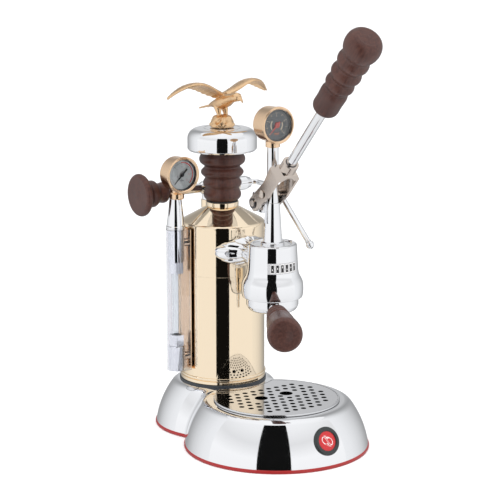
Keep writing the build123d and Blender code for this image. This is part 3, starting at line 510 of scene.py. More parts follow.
def lobed_outline(inset):
    """The base's two lobes drawn in by inset and joined by rounded waists, as points in millimetres."""
    front, rear = FRONT_RADIUS - inset, REAR_RADIUS - inset
    lobe = Vector((0, LOBE_CENTRE))
    to_front, to_rear = front + WAIST_ROUNDING, rear + WAIST_ROUNDING
    waist_y = (to_front ** 2 - to_rear ** 2 - LOBE_CENTRE ** 2) / (-2 * LOBE_CENTRE)
    waist = Vector((sqrt(to_rear ** 2 - waist_y ** 2), waist_y))
    front_end = atan2(waist.y - lobe.y, waist.x)
    rear_end = atan2(waist.y, waist.x)
    from_front, from_rear = (lobe - waist).normalized(), (-waist).normalized()
    start = atan2(from_front.y, from_front.x)
    bend = from_front.angle_signed(from_rear)
    points = arc_points(lobe, front, front_end, -(pi + 2 * front_end), LOBE_STEPS)
    points += arc_points((-waist.x, waist.y), WAIST_ROUNDING, pi - start, bend, WAIST_STEPS)
    points += arc_points((0, 0), rear, pi - rear_end, -(pi - 2 * rear_end), REAR_STEPS)
    last = atan2(from_rear.y, from_rear.x)
    return points + arc_points(waist, WAIST_ROUNDING, last, bend, WAIST_STEPS)


def wall_station(lean):
    """Inset and height of the wall where it leans by an angle."""
    arc = min(lean, WALL_END)
    inset = WALL_RADIUS * (cos(WALL_LEAN) - cos(arc))
    height = WALL_FOOT + WALL_RADIUS * (sin(arc) - sin(WALL_LEAN))
    if lean > WALL_END:
        inset += EDGE_RADIUS * (cos(WALL_END) - cos(lean))
        height += EDGE_RADIUS * (sin(lean) - sin(WALL_END))
    return inset, height


def front_wall(height):
    """Point on the front of the base's wall in metres, and its outward normal."""
    lean = asin(sin(WALL_LEAN) + (height - WALL_FOOT) / WALL_RADIUS)
    point = Vector((0, LOBE_CENTRE, height)) + FRONT * (FRONT_RADIUS - wall_station(lean)[0])
    return point * MM, FRONT * cos(lean) + UP * sin(lean)


def base_rings(stations):
    """Rings of the base's outline at stations of (inset, height)."""
    return [[Vector((*p, height)) * MM for p in lobed_outline(inset)] for inset, height in stations]


def tray_mouth():
    """Outline of the tray's opening, round and hollowed behind by the boiler, as points in millimetres."""
    outer, hollow = TRAY_RADIUS - MOUTH_INSET, TRAY_HOLLOW + MOUTH_INSET
    cross_y = (hollow ** 2 - outer ** 2 + LOBE_CENTRE ** 2) / (2 * LOBE_CENTRE)
    cross_x = sqrt(hollow ** 2 - cross_y ** 2)
    start = atan2(cross_y - LOBE_CENTRE, cross_x)
    back = atan2(cross_y, -cross_x)
    points = arc_points((0, LOBE_CENTRE), outer, start, -(pi + 2 * start), 120)
    return points + arc_points((0, 0), hollow, back, -(2 * back + pi), 60)


def base_shell():
    """Pressed base: leaning wall, rounded shoulder and a flat top with the tray's opening."""
    leans = [WALL_LEAN + (WALL_END - WALL_LEAN) * k / WALL_STEPS for k in range(WALL_STEPS)]
    leans += [WALL_END + (pi / 2 - WALL_END) * k / WALL_STEPS for k in range(WALL_STEPS + 1)]
    vertices, faces = banded(base_rings([(SHEET, WALL_FOOT)] + [wall_station(lean) for lean in leans]))
    shell = bmesh.new()
    made = [shell.verts.new(v) for v in vertices]
    for face in faces:
        shell.faces.new([made[k] for k in face])
    mouth = [shell.verts.new(Vector((*p, BASE_TOP)) * MM) for p in tray_mouth()]
    rim = made[-(LOBE_STEPS + 2 * WAIST_STEPS + REAR_STEPS):]
    edges = [shell.edges.get(pair) for pair in zip(rim, rim[1:] + rim[:1])]
    edges += [shell.edges.new(pair) for pair in zip(mouth, mouth[1:] + mouth[:1])]
    bmesh.ops.triangle_fill(shell, use_beauty=True, edges=edges)
    lip = [shell.verts.new(v.co - UP * SHEET * MM) for v in mouth]
    for k in range(len(mouth)):
        after = (k + 1) % len(mouth)
        shell.faces.new((mouth[k], mouth[after], lip[after], lip[k]))
    bmesh.ops.recalc_face_normals(shell, faces=shell.faces)
    mesh = bpy.data.meshes.new("pressed_base")
    shell.to_mesh(mesh)
    shell.free()
    make_piece("pressed_base", mesh, CHROME, "machine", "chrome", ("base_shell",), angle=50)


def base_trim():
    """Rubber band round the foot of the base."""
    profile = rounded([(3.0, 0.0), (-0.2, 0.0, 0.6), (-0.88, 1.4, 0.7), (-0.80, 3.4, 0.7), (0.4, 4.15, 0.5),
                       (1.2, 4.1)], radians(25))
    vertices, faces = banded(base_rings(profile))
    outward = [face[::-1] for face in faces]
    add_piece("trim_band", vertices, outward, RED_RUBBER, "machine", "red_rubber", ("base_trim",))


BADGE_HEIGHT = 28.8
ENAMEL_RADIUS = 10.6
ENAMEL_DOME = 0.75
BEAN_REACH = 6.9
BEAN_BELLY = 4.3
BEAN_GAP = 0.55
BEAN_WAVE = 0.9


def bean_half(sign):
    """Outline of one half of the coffee bean: its round back, then its wavy inner edge."""
    outline = []
    for k in range(33):
        swing = pi * k / 32
        away = sign * (BEAN_GAP + BEAN_BELLY * sin(swing)) + BEAN_WAVE * sin(2 * swing)
        outline.append(Vector((BEAN_REACH * cos(swing), away)))
    for k in range(17):
        along = -BEAN_REACH + 2 * BEAN_REACH * k / 16
        outline.append(Vector((along, sign * BEAN_GAP - BEAN_WAVE * sin(pi * along / BEAN_REACH))))
    return outline


def badge():
    """Round badge: dark ring, red enamel and a plain white coffee bean."""
    point, normal = front_wall(BADGE_HEIGHT)
    ring = rounded([(10.5, -2), (15.4, -2), (15.4, 0.4, 0.5), (14.4, 1.9, 0.9), (11.6, 1.9, 0.5),
                    (10.5, 1.0)])
    lathe("badge_bezel", ring, point, normal, GREY_RING, "machine", "badge_grey", ("badge_ring",), 128)
    shares = [1 - k / 8 for k in range(9)]
    face = [(ENAMEL_RADIUS * s, 0.6 + ENAMEL_DOME * (1 - s ** 2)) for s in shares]
    lathe("badge_enamel", face, point, normal, RED_ENAMEL, "machine", "badge_red", ("badge_disc",))
    lean = Matrix.Rotation(radians(35), 4, "Z")
    vertices, faces = [], []
    for outline in (bean_half(-1), bean_half(1)):
        start = len(vertices)
        for p in outline:
            level = 0.64 + ENAMEL_DOME * (1 - (p.length / ENAMEL_RADIUS) ** 2)
            vertices.append(lean @ Vector((p.x, p.y, level)) * MM)
        faces.append(tuple(range(start, len(vertices))))
    add_piece("badge_bean", vertices, faces, WHITE_ENAMEL, "machine", "badge_red",
              matrix=axis_frame(point, normal, UP), angle=None)


base_shell()
base_trim()
badge()


# ---- eagle finial
def swept_skin(stations, count=20):
    """Closed skin round a path: stations of (centre, half width, half height, nose-down tilt)."""
    rings = []
    for middle, wide, tall, tilt in stations:
        turn = Matrix.Rotation(tilt, 3, "X")
        rings.append([Vector(middle) + turn @ Vector((wide * cos(s), 0, tall * sin(s)))
                      for s in full_turn(count)])
    vertices, faces = banded(rings)
    faces.append(tuple(range(count)))
    faces.append(tuple(range(len(vertices) - 1, len(vertices) - 1 - count, -1)))
    return vertices, faces


def along_curve(points, t):
    """Spline point at t from 0 to 1 through a list of tuples."""
    place = min(t, 0.9999) * (len(points) - 1)
    i = int(place)
    return spline_point(*with_ends(points)[i:i + 4], place - i)


WING_FRONT = [(2, -9, 372), (14, -13, 378.5), (26, -14.5, 385), (36, -13, 387.0), (47, -8, 384.6),
              (57, 0, 378.5), (65.3, 7.5, 370.5)]
WING_REAR = [(2, 11, 367), (14, 15, 372), (26, 17.5, 377.5), (37, 18.5, 380.0), (47, 18, 378.5),
             (56, 15.5, 374.5), (64.5, 11.5, 370.0)]
WING_STEPS = 90
CHORD_STEPS = 26
FEATHERS = 13


def wing(side):
    """One spread wing: an arched blade whose hind half is cut into overlapping feathers."""
    upper, lower = [], []
    for i in range(WING_STEPS + 1):
        t = i / WING_STEPS
        lead, trail = along_curve(WING_FRONT, t), along_curve(WING_REAR, t)
        feather = (t * FEATHERS) % 1.0
        rounded_tip = sqrt(1 - (2 * feather - 1) ** 2)
        trail = lead + (trail - lead) * (0.88 + 0.14 * rounded_tip)
        thick = 2.5 * (1 - t) + 1.0
        row_up, row_down = [], []
        for j in range(CHORD_STEPS + 1):
            s = j / CHORD_STEPS
            p = lead.lerp(trail, s)
            section = sqrt(s) * (1 - s) * 1.9 + 0.05 * (1 - s)
            camber = 2.6 * sin(pi * s) * (1 - 0.35 * t)
            quill = abs(feather - 0.5) * 2
            ridge = 0.62 * (1 - quill ** 3) * min(1, max(0, (s - 0.40) / 0.15))
            coverts = 0.42 * abs(sin(pi * (s * 9 + 0.5 * sin(t * 40)))) * (1 if s < 0.44 else 0)
            row_up.append(Vector((side * p.x, p.y, p.z + camber + thick * section + ridge + coverts)))
            under = p.z + camber - thick * 0.55 * section - 0.55 + 0.4 * ridge
            row_down.append(Vector((side * p.x, p.y, under)))
        upper.append(row_up)
        lower.append(row_down)
    vertices = [p for row in upper for p in row] + [p for row in lower for p in row]
    width = CHORD_STEPS + 1
    shift = (WING_STEPS + 1) * width
    faces = []
    for i in range(WING_STEPS):
        for j in range(CHORD_STEPS):
            a, d = i * width + j, (i + 1) * width + j
            faces.append((a, a + 1, d + 1, d))
            faces.append((d + shift, d + 1 + shift, a + 1 + shift, a + shift))
        for j in (0, CHORD_STEPS):
            a, d = i * width + j, (i + 1) * width + j
            faces.append((a, d, d + shift, a + shift))
    for i in (0, WING_STEPS):
        for j in range(CHORD_STEPS):
            a = i * width + j
            faces.append((a, a + shift, a + 1 + shift, a + 1))
    return vertices, faces


BODY = ((20, 359.5, 4.5, 2.6, 0.3), (14, 361, 6.8, 4.6, 0.35), (6, 362.6, 8.6, 7.0, 0.35),
        (-3, 364.6, 9.4, 8.2, 0.25), (-11, 367.2, 8.6, 7.6, 0.1), (-17, 369.6, 6.6, 6.0, 0.0),
        (-22, 371.4, 5.4, 5.2, 0.0), (-26.5, 372.6, 5.5, 5.3, 0.0), (-30.5, 373.0, 5.0, 4.7, 0.0),
        (-33.6, 372.4, 3.8, 3.6, 0.0))
BEAK = ((-32.6, 372.0, 2.9, 2.9, 0.0), (-35.6, 371.8, 2.2, 2.3, 0.2), (-38.2, 370.9, 1.5, 1.7, 0.6),
        (-39.9, 369.2, 0.9, 1.1, 1.1), (-40.2, 367.4, 0.45, 0.5, 1.5))
DOWNWARD = 1.57
LEG_X = 4.5
ROCK_START = 340
EAGLE_VOXEL = 0.42


def side_parts(side):
    """Wing, brow, leg and toes of one side."""
    brow = [((side * 3.6, -27, 375.4), 1.0, 0.9, 0.0), ((side * 3.7, -30, 375.6), 1.1, 0.9, 0.0),
            ((side * 2.8, -32.8, 374.4), 0.7, 0.6, 0.0)]
    thigh = [((side * 4.2, 4, 361), 4.4, 4.6, DOWNWARD), ((side * 4.4, 1.5, 356), 3.7, 4.0, DOWNWARD),
             ((side * 4.4, 0, 352), 2.6, 2.8, DOWNWARD), ((side * LEG_X, -1.5, 348.5), 2.0, 2.2, DOWNWARD)]
    parts = [wing(side), swept_skin(brow, 10), swept_skin(thigh, 14)]
    for toe in (-0.75, 0.0, 0.75):
        x = side * LEG_X
        claw = [((x, -1.5, 348.8), 1.3, 1.3, DOWNWARD),
                ((x + 3.6 * sin(toe), -4.6 * cos(toe) - 1.2, 348.6), 1.2, 1.2, 0.8),
                ((x + 5.8 * sin(toe), -7.6 * cos(toe) - 1.2, 346.6), 0.7, 0.7, 1.2)]
        parts.append(swept_skin(claw, 8))
    return parts


def tail_feather(k):
    """One of seven plumes that fan out behind, every other one a little higher."""
    spread = (k - 3) * 0.17
    root = Vector((0, 16, 360.3))
    tip = Vector((sin(spread) * 19, 16 + cos(spread) * 17.5, 354.6 + 0.5 * (k % 2)))
    plume = [(root.lerp(tip, s), 2.3 * (0.55 + 0.8 * s) * (1 if s < 0.95 else 0.55), 0.95, 0.3)
             for s in (0, 0.25, 0.5, 0.75, 0.92, 1.0)]
    return swept_skin(plume, 12)


def rock():
    """The rough mound that the bird stands on."""
    rings = []
    for radius, height in rounded([(0, 337.2), (13.4, 337.2, 0.8), (13.5, 340.5, 1.4), (11.8, 343.5, 3),
                                   (9.4, 348.8, 2.5), (5, 350.4), (0, 350.6)]):
        ring = []
        for swing in full_turn(48):
            rough = 1 + 0.05 * sin(7 * swing + height) + 0.035 * sin(11 * swing - 1.3 * height)
            reach = radius * rough if height > ROCK_START else radius
            ring.append(Vector((reach * cos(swing), reach * sin(swing), height)))
        rings.append(ring)
    return banded(rings)


def eagle():
    """The bird on its rock, joined into one casting."""
    parts = [swept_skin([((0, y, z), *rest) for y, z, *rest in BODY]),
             swept_skin([((0, y, z), *rest) for y, z, *rest in BEAK], 14)]
    parts += side_parts(-1) + side_parts(1) + [tail_feather(k) for k in range(7)] + [rock()]
    vertices, faces = [], []
    for part_vertices, part_faces in parts:
        start = len(vertices)
        vertices += [v * MM for v in part_vertices]
        faces += [tuple(start + k for k in face) for face in part_faces]
    bird = add_piece("eagle", vertices, faces, EAGLE_GOLD, "cap", "eagle_gold", ("eagle_finial",), angle=None)
    remesh = bird.modifiers.new("one casting", "REMESH")
    remesh.mode = "VOXEL"
    remesh.voxel_size = EAGLE_VOXEL * MM
    soften = bird.modifiers.new("soften", "CORRECTIVE_SMOOTH")
    soften.iterations = 3
    soften.use_only_smooth = True
    bpy.context.view_layer.update()
    solid = bpy.data.meshes.new_from_object(bird.evaluated_get(bpy.context.evaluated_depsgraph_get()))
    bird.modifiers.clear()
    bird.data = solid
    solid.shade_smooth()


eagle()


# ---- group
GROUP_FOOT = Vector((0, GROUP_Y, low("group_body").z))
GROUP_RISE = (high("group_body").z - low("group_body").z) / MM
FOOT_RING_STANDS_OUT = 1.3
BOILER_WALL = high("boiler_base_ring").x / MM - FOOT_RING_STANDS_OUT
NECK_HEIGHT = centre("group_bolts").z / MM
NECK_LENGTH = 100
NECK_RIDGES = 7
BELL_REACH = 25.0


def group_bell():
    """Polished bell: flat recessed top, softly flared skirt and the hollow that takes the portafilter."""
    skirt = flowing([(32.5, 0.8), (33.2, 4.5), (33.4, 10), (32.9, 16), (31.1, 20.6), (29.0, 24.6),
                     (27.9, 29.2), (27.3, 38), (26.8, 47), (26.5, 53)], 6)
    crown = rounded([(26.5, 53), (26.2, GROUP_RISE, 2.6), (21.0, GROUP_RISE, 0.5), (20.2, 57.6, 0.5),
                     (9.1, 57.4)])
    hollow = rounded([(9.1, 51.3), (21.05, 51.3), (21.05, 12.5), (31.3, 12.5), (31.3, 2.8), (28.2, 2.8, 0.3),
                      (28.2, 0, 0.4), (32.0, 0, 0.5), (32.5, 0.8)])
    lathe("group_bell", [*hollow, *skirt[1:], *crown[1:]], GROUP_FOOT, UP, CHROME, "machine", "chrome",
          ("group_body",), segments=160, angle=40)


NECK_STATIONS = [(0, 32.6, 16.8), (4, 32.7, 17.0), (13, 31.0, 16.4), (25, 23.6, 14.6), (42, 16.8, 12.9),
                 (62, 15.6, 12.9), (80, 17.6, 14.6), (92, 20.6, 16.6), (100, 24.0, 18.0)]


def group_neck():
    """Cast neck: a pointed flange against the boiler, waisted, then flaring into the bell in long ridges."""
    widths = flowing([(width, along) for along, width, _ in NECK_STATIONS], 6)
    heights = flowing([(height, along) for along, _, height in NECK_STATIONS], 6)
    rings = []
    for (half_width, along), (half_height, _) in zip(widths, heights):
        s = min(1.0, max(0.0, along / NECK_LENGTH))
        ring = []
        for turn in full_turn(192):
            c, n = cos(turn), sin(turn)
            ridge = abs(sin(NECK_RIDGES * turn + 0.9 * s)) ** 0.75
            swell = 1 + 0.085 * sin(pi * min(1.0, 0.06 + s * 1.05)) ** 0.7 * (ridge - 0.62)
            x = half_width * copysign(abs(c) ** (1.4 - 0.4 * s), c) * swell
            z = half_height * copysign(abs(n) ** (0.92 + 0.08 * s), n) * swell
            wall = -sqrt((BOILER_WALL + 0.1) ** 2 - x * x)
            front = GROUP_Y / MM + sqrt(max(4.0, BELL_REACH ** 2 - x * x))
            ring.append(Vector((x, wall * (1 - s) + front * s, NECK_HEIGHT + z)) * MM)
        rings.append(ring)
    vertices, faces = banded(rings)
    add_piece("group_neck", vertices, faces, CHROME, "machine", "chrome", angle=50)


STRIP_RADIUS = 27.95
STRIP_TAPER = 0.55
STRIP_FOOT = 30.0
STRIP_RISE = 11.6
WINDOWS = 6
FIRST_WINDOW = -34.5
WINDOW_STEP = 11.2


def strip_patch(start, end, low_edge, high_edge, lift):
    """Vertices and faces of a patch on the bell, between two angles from the front and two heights."""
    count = max(2, ceil(abs(end - start) / 2))
    vertices = []
    for k in range(count + 1):
        turn = radians(start + (end - start) * k / count)
        for level in (low_edge, high_edge):
            radius = STRIP_RADIUS - STRIP_TAPER * (level - STRIP_FOOT) / STRIP_RISE + lift
            vertices.append(Vector((radius * sin(turn), -radius * cos(turn), level)) * MM)
    return vertices, [(2 * k, 2 * k + 2, 2 * k + 3, 2 * k + 1) for k in range(count)]


def temperature_windows():
    """Six plain temperature windows on the strip: pale frame, dark field, small pale mark."""
    for name, reach, low_edge, high_edge, lift, material in (
        ("window_frames", 4.1, 31.0, 40.7, 0.03, WHITE_ENAMEL),
        ("window_fields", 3.2, 31.8, 39.9, 0.06, INK),
        ("window_marks", 0.8, 35.4, 37.0, 0.09, WHITE_ENAMEL),
    ):
        vertices, faces = [], []
        for window in range(WINDOWS):
            middle = FIRST_WINDOW + WINDOW_STEP * window
            up = (window % 3 - 1) * 1.4 if name == "window_marks" else 0
            made, sides = strip_patch(middle - reach, middle + reach, low_edge + up, high_edge + up, lift)
            faces += [tuple(i + len(vertices) for i in side) for side in sides]
            vertices += made
        add_piece(name, vertices, faces, material, "machine", "label_white",
                  matrix=Matrix.Translation(GROUP_FOOT), angle=None)


group_bell()
group_neck()
temperature_windows()


# ---- gauges
PRINT_LIFT = 0.06
NEEDLE_LIFT = 0.9
NEEDLE_THICKNESS = 0.5
HUB_SEGMENTS = 40


def dial_frame(dial, lift):
    """Matrix on a dial's face, X to the right as it is read, Y up and Z out of it; lift in millimetres."""
    middle = centre(dial)
    face = Vector((middle.x, low(dial).y - lift * MM, middle.z))
    return Matrix.Translation(face) @ Matrix.Rotation(pi / 2, 4, "X")


def tick(turn, inner, outer, width):
    """Quad of a radial mark on a dial; radii and width in millimetres."""
    along = Vector((cos(turn), sin(turn), 0))
    side = Vector((-sin(turn), cos(turn), 0)) * width / 2
    corners = along * inner - side, along * outer - side, along * outer + side, along * inner + side
    return [corner * MM for corner in corners]


def scale_turn(fraction):
    """Angle of a dial reading, from lower left over the top to lower right."""
    return radians(225 - 270 * fraction)


def scale_ticks(steps, group, fine, bold, outer):
    """Marks of a whole dial; fine ones and each group's bold one are given as (inner radius, width)."""
    marks = []
    for k in range(steps + 1):
        inner, width = fine if k % group else bold
        marks.append(tick(scale_turn(k / steps), inner, outer, width))
    return marks


def arc_band(start, end, inner, outer):
    """Quads of a ring's sector between two angles in degrees."""
    count = max(2, ceil(abs(end - start) / 4))
    turns = [radians(start + (end - start) * k / count) for k in range(count + 1)]
    quads = [((inner, a), (outer, a), (outer, b), (inner, b)) for a, b in zip(turns, turns[1:])]
    return [[Vector((r * cos(turn), r * sin(turn), 0)) * MM for r, turn in quad] for quad in quads]


def numeral(text, size, radius, turn, place, material, body, slot):
    """A dial number from the built-in letters, as a flat mesh."""
    curve = bpy.data.curves.new("numeral", "FONT")
    curve.body = text
    curve.size = size * MM
    curve.align_x = "CENTER"
    curve.align_y = "CENTER"
    curve.resolution_u = 3
    writing = bpy.data.objects.new("numeral", curve)
    mesh = bpy.data.meshes.new_from_object(writing)
    bpy.data.objects.remove(writing)
    mesh.materials.clear()
    there = place @ Matrix.Translation((radius * cos(turn) * MM, radius * sin(turn) * MM, 0))
    make_piece("dial_number", mesh, material, body, slot, matrix=there, angle=None)


def both_sides(upper):
    """A needle's outline from its upper side, tip to tail."""
    return [*upper, *((x, -y) for x, y in upper[::-1])]


def pointer(name, outline, hub, dial, material, body, slot, replaces):
    """A flat needle: its outline, towards the tip along X, with a domed hub; millimetres."""
    count = len(outline)
    vertices = [Vector((x, y, level)) * MM for level in (0, NEEDLE_THICKNESS) for x, y in outline]
    faces = [tuple(range(count))[::-1], tuple(range(count, 2 * count))]
    faces += [(k, (k + 1) % count, count + (k + 1) % count, count + k) for k in range(count)]
    crown = NEEDLE_THICKNESS + 0.8
    dome = rounded([(hub, -0.3), (hub, NEEDLE_THICKNESS + 0.4, 0.4), (hub * 0.45, crown, 0.3), (0, crown)])
    rings = [[Vector((p.x * cos(turn), p.x * sin(turn), p.y)) * MM for turn in full_turn(HUB_SEGMENTS)]
             for p in dome[:-1]]
    hub_vertices, hub_faces = banded(rings)
    vertices += hub_vertices
    faces += [tuple(2 * count + k for k in face) for face in hub_faces]
    faces.append(tuple(range(len(vertices) - HUB_SEGMENTS, len(vertices))))
    place = dial_frame(dial, NEEDLE_LIFT) @ Matrix.Rotation(scale_turn(0), 4, "Z")
    add_piece(name, vertices, faces, material, body, slot, replaces, place, 30)


def inner_wall_shade(prefix):
    """Black ring between dial and glass, put in as painted shade for the gauge case's inner wall."""
    # Painted shade: this black ring stands for the shade on the case's inner wall.
    dial, glass = f"{prefix}_dial", f"{prefix}_glass"
    depth = (low(dial).y - high(glass).y) / MM - 0.1
    middle = centre(dial)
    lathe(f"{prefix}_spacer", [(16.9, 0.05), (15.7, 0.05), (16.4, depth), (16.9, depth)],
          Vector((middle.x, low(dial).y, middle.z)), FRONT, BLACK_PLASTIC, BODY_OF[dial], "black_plastic",
          angle=25)


def boiler_dial():
    """Pale dial: black scale, red zone and a black spade needle."""
    dial = "boiler_gauge_dial"
    body = BODY_OF[dial]
    place = dial_frame(dial, PRINT_LIFT)
    ticks = scale_ticks(30, 5, (12.0, 0.22), (10.8, 0.42), 13.0) + arc_band(225, 96, 13.0, 13.2)
    strips("boiler_ticks", ticks, INK, body, "dial_white", place)
    strips("boiler_limit", arc_band(94, -45, 13.1, 14.2), RED_INK, body, "dial_white", place)
    for k, text in enumerate(("0", ".5", "1", ".5", "2", ".5", "3")):
        material = RED_INK if k > 4 else INK
        numeral(text, 2.6, 8.8, scale_turn(k / 6), place, material, body, "dial_white")
    marks = arc_band(-108, -72, 6.2, 6.8) + arc_band(-104, -76, 4.6, 5.0)
    strips("boiler_lower_mark", marks, INK, body, "dial_white", place)
    spade = [(14.2, 0.14), (2.6, 0.75), (-2.0, 0.75), (-4.0, 1.0), (-8.2, 1.05), (-8.9, 0.6)]
    pointer("boiler_pointer", both_sides(spade), 2.1, dial, INK, "boiler_needle", "needle_black",
            ("boiler_gauge_needle",))
    inner_wall_shade("boiler_gauge")


def group_dial():
    """Dark dial: pale scale, orange zone and a red arrow needle."""
    dial = "group_gauge_dial"
    body = BODY_OF[dial]
    place = dial_frame(dial, PRINT_LIFT)
    ticks = scale_ticks(32, 4, (12.4, 0.24), (11.2, 0.5), 13.6)
    strips("group_ticks", ticks, PALE_INK, body, "dial_dark", place)
    zones = arc_band(225, 140, 6.6, 8.0) + arc_band(20, -45, 6.6, 8.0)
    strips("group_zone", zones, PALE_INK, body, "dial_dark", place)
    working = arc_band(-110, -70, 8.6, 9.2) + arc_band(-108, -72, 10.0, 10.4)
    strips("group_working_zone", working, ORANGE_PAINT, body, "dial_dark", place)
    for k in range(0, 9, 2):
        numeral(str(2 * k), 2.5, 9.9, scale_turn(k / 8), place, PALE_INK, body, "dial_dark")
    arrow = [(13.2, 0.2), (2.6, 1.0), (-3.2, 1.0), (-4.6, 0.7)]
    pointer("group_pointer", both_sides(arrow), 3.0, dial, RED_PAINT, "group_needle", "needle_orange",
            ("group_gauge_needle",))
    inner_wall_shade("group_gauge")


boiler_dial()
group_dial()


# ---- boiler seam
SEAM_HEIGHT = 0.136


def boiler_seam():
    """A fine raised joint line round the boiler."""
    at = foot("boiler_shell") + UP * SEAM_HEIGHT
    inner, outer = BOILER_WALL - 0.25, BOILER_WALL + 0.12
    profile = rounded([(inner, -0.6), (outer, -0.35, 0.2), (outer, 0.35, 0.2), (inner, 0.6)])
    lathe("boiler_seam", profile, at, UP, BOILER_GOLD, "machine", "boiler_gold", segments=160, angle=60)


boiler_seam()


# ---- lever
TUBE_RADIUS = 5.4
TUBE_START, TUBE_END = 36.2, 223.8


def lever_tube():
    """Chromed tube of the lever, with a dark joint ring at the fork's socket and a ferrule at the wood."""
    tube = [(0, TUBE_START), (TUBE_RADIUS, TUBE_START, 0.5), (TUBE_RADIUS, TUBE_END, 0.8), (0, TUBE_END)]
    inside = TUBE_RADIUS - 0.1
    ring = [(inside, 49.0), (6.25, 49.0), (6.25, 50.2), (5.9, 51.2, 0.3), (inside, 51.4)]
    ferrule = [(inside, 133.6), (6.6, 133.6, 0.4), (7.4, 135.2, 0.5), (7.4, 137.6), (inside, 137.6)]
    for name, profile, material, slot, replaces in (
        ("lever_tube", tube, CHROME, "chrome", ("lever_arm",)),
        ("socket_ring", ring, CLIP_STEEL, "fork_nickel", ()),
        ("handle_ferrule", ferrule, CHROME, "chrome", ()),
    ):
        lathe(name, rounded(profile), LEVER_PIN, LEVER_ALONG, material, BODY_OF["lever_arm"], slot, replaces)


lever_tube()


# ---- cap and gauge collar
def cap_plate():
    """Chromed cap: short upright side, broad round shoulder and a fine ring on top."""
    foot_at = foot("cap_disc")
    body = BODY_OF["cap_disc"]
    rise = (high("cap_disc").z - low("cap_disc").z) / MM
    radius = (high("cap_disc").x - low("cap_disc").x) / 2 / MM
    side = rounded([(5.1, 0), (radius - 1.8, 0, 0.9), (radius, 2.2, 1.2), (radius, rise - 1.5, 11.5),
                    (14, rise), (5.1, rise)], radians(6))
    lathe("cap_plate", side, foot_at, UP, CHROME, body, "chrome", ("cap_disc",), segments=192, angle=40)
    ring = rounded([(18.9, rise - 0.9), (19.5, rise, 0.3), (20.5, rise - 0.1, 0.3), (21.1, rise - 0.9)])
    lathe("cap_ring", ring, foot_at, UP, CHROME, body, "chrome", segments=192, angle=60)


def gauge_collar():
    """Gilt collar that seats the boiler gauge on its tapered fitting."""
    at = Vector((centre("sight_top_fitting").x, centre("sight_glass").y, high("sight_top_fitting").z))
    collar = rounded([(0.5, -0.6), (7.0, -0.6, 0.5), (8.0, 0.6, 0.7), (8.0, 5.2, 0.7), (6.4, 7.6, 0.8),
                      (0.5, 8.4)])
    lathe("gauge_collar", collar, at, UP, GAUGE_GOLD, BODY_OF["boiler_gauge_case"], "gauge_gold")


cap_plate()
gauge_collar()


# ---- stage, light and camera
def studio_floor():
    """A wide pale floor that polished metal doesn't see: it sees the pale world behind it instead."""
    mesh = bpy.data.meshes.new("floor")
    corners = [(12 * cos(turn), 12 * sin(turn), 0) for turn in full_turn(64)]
    mesh.from_pydata(corners, [], [tuple(range(64))])
    floor = placed("floor", mesh)
    paper = Finish("studio_paper", (0.93, 0.93, 0.935), roughness=0.9)
    mesh.materials.append(paper.material)
    floor.visible_glossy = False


def reflected_sheet(name, shades, distance, bottom, top, through_glass=False):
    """An upright curved sheet that polished surfaces see, and clear ones too where through_glass is set.

    shades lists its brightness at azimuths in degrees from the camera.
    """
    vertices, faces, levels = [], [], []
    for turn, shade in shades:
        azimuth = CAMERA_TURN + radians(turn)
        out = Vector((sin(azimuth), -cos(azimuth), 0)) * distance
        vertices += [out + UP * bottom, out + UP * top]
        levels += [shade, shade]
    for k in range(len(shades) - 1):
        faces.append((2 * k, 2 * k + 2, 2 * k + 3, 2 * k + 1))
    mesh = bpy.data.meshes.new(name)
    mesh.from_pydata([tuple(v) for v in vertices], [], faces)
    layer = mesh.color_attributes.new("shade", "FLOAT_COLOR", "POINT")
    for item, shade in zip(layer.data, levels):
        item.color = (shade * 0.975, shade * 0.985, shade, 1)
    sheet = placed(name, mesh)
    paint = bpy.data.materials.new(name)
    paint.use_nodes = True
    tree = paint.node_tree
    tree.nodes.clear()
    shade_of = tree.nodes.new("ShaderNodeAttribute")
    shade_of.attribute_name = "shade"
    glow = tree.nodes.new("ShaderNodeEmission")
    tree.links.new(shade_of.outputs["Color"], glow.inputs["Color"])
    output = tree.nodes.new("ShaderNodeOutputMaterial")
    tree.links.new(glow.outputs["Emission"], output.inputs["Surface"])
    mesh.materials.append(paint)
    sheet.visible_camera = False
    sheet.visible_diffuse = False
    sheet.visible_shadow = False
    sheet.visible_transmission = through_glass


def soft_light(name, at, power):
    """A square area light, aimed at the machine, that no reflection shows."""
    data = bpy.data.lights.new(name, "AREA")
    data.size = LIGHT_SIZE
    data.energy = power
    lamp = placed(name, data)
    lamp.location = at
    lamp.rotation_euler = (LIGHT_TARGET - Vector(at)).to_track_quat("-Z", "Y").to_euler()
    lamp.visible_camera = False
    lamp.visible_glossy = False


def sky_light(strength):
    """Even light from overhead, as from a wide diffusing roof."""
    data = bpy.data.lights.new("roof", "SUN")
    data.energy = strength
    data.angle = radians(90)
    lamp = placed("roof", data)
    lamp.rotation_euler = (radians(8), radians(-6), 0)
    lamp.visible_glossy = False


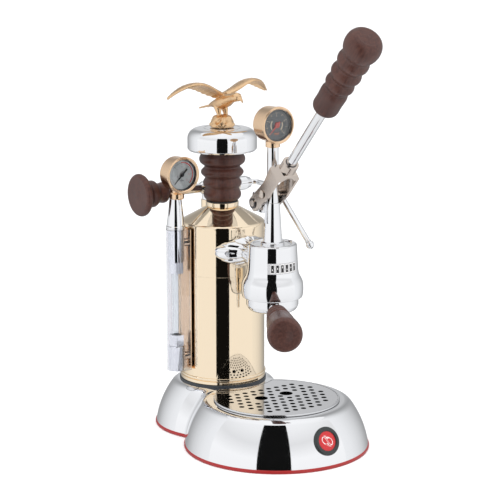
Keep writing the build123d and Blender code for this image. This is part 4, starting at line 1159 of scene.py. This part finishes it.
def studio_world():
    """A pale light tent, graded with height: greyest underfoot and in a soft band above eye level."""
    world = bpy.data.worlds.new("studio")
    bpy.context.scene.world = world
    world.use_nodes = True
    tree = world.node_tree
    place = tree.nodes.new("ShaderNodeTexCoord")
    axes = tree.nodes.new("ShaderNodeSeparateXYZ")
    tree.links.new(place.outputs["Generated"], axes.inputs["Vector"])
    ramp = tree.nodes.new("ShaderNodeValToRGB")
    lift = tree.nodes.new("ShaderNodeMapRange")
    lift.inputs["From Min"].default_value = -1
    lift.inputs["From Max"].default_value = 1
    tree.links.new(axes.outputs["Z"], lift.inputs["Value"])
    tree.links.new(lift.outputs["Result"], ramp.inputs["Fac"])
    stops = ((0.0, 0.80), (0.45, 0.96), (0.60, 0.99), (0.74, 0.80), (0.86, 0.92), (1.0, 1.0))
    fill_ramp(ramp, [(height, (level * 0.985, level * 0.99, level)) for height, level in stops])
    backdrop = tree.nodes["Background"]
    tree.links.new(ramp.outputs["Color"], backdrop.inputs["Color"])
    backdrop.inputs["Strength"].default_value = 1.06


CAMERA_AT = Vector((-1.1675, -1.7883, 0.6675))
CAMERA_ALONG = Vector((0.5456, 0.8101, -0.2147))
CAMERA_TURN = atan2(CAMERA_AT.x, -CAMERA_AT.y)
CAMERA_SENSOR, CAMERA_LENS = 36.0, 141.3
LIGHT_SIZE = 1.2
LIGHT_TARGET = Vector((0, -0.05, 0.2))


def photo_camera():
    """The photo's own viewpoint and focal length."""
    data = bpy.data.cameras.new("camera")
    data.sensor_width = CAMERA_SENSOR
    data.lens = CAMERA_LENS
    camera = placed("camera", data)
    camera.location = CAMERA_AT
    camera.rotation_euler = CAMERA_ALONG.to_track_quat("-Z", "Y").to_euler()
    bpy.context.scene.camera = camera


GAP_DISTANCE = 0.78
TENT_DISTANCE = 1.9
GAP_SHADES = [(turn, 0.006) for turn in (-17.5, -8, 0, 8, 17.5)]
HALF_BACK = [(88, 0.97), (100, 0.93), (112, 0.84), (124, 0.72), (136, 0.56), (148, 0.42), (158, 0.36),
             (167, 0.46), (174, 0.62)]
BACK_SHADES = [*HALF_BACK, (180, 0.70), *((360 - turn, shade) for turn, shade in HALF_BACK[::-1])]

studio_floor()
studio_world()
reflected_sheet("dark_gap", GAP_SHADES, GAP_DISTANCE, -0.9, 1.0, through_glass=True)
reflected_sheet("tent_back", BACK_SHADES, TENT_DISTANCE, -2.0, 2.4)
sky_light(0.95)
soft_light("key", (-1.6, -1.2, 1.6), 22)
soft_light("fill", (1.5, -1.3, 1.2), 12)
photo_camera()
bpy.context.scene.view_settings.view_transform = "Standard"
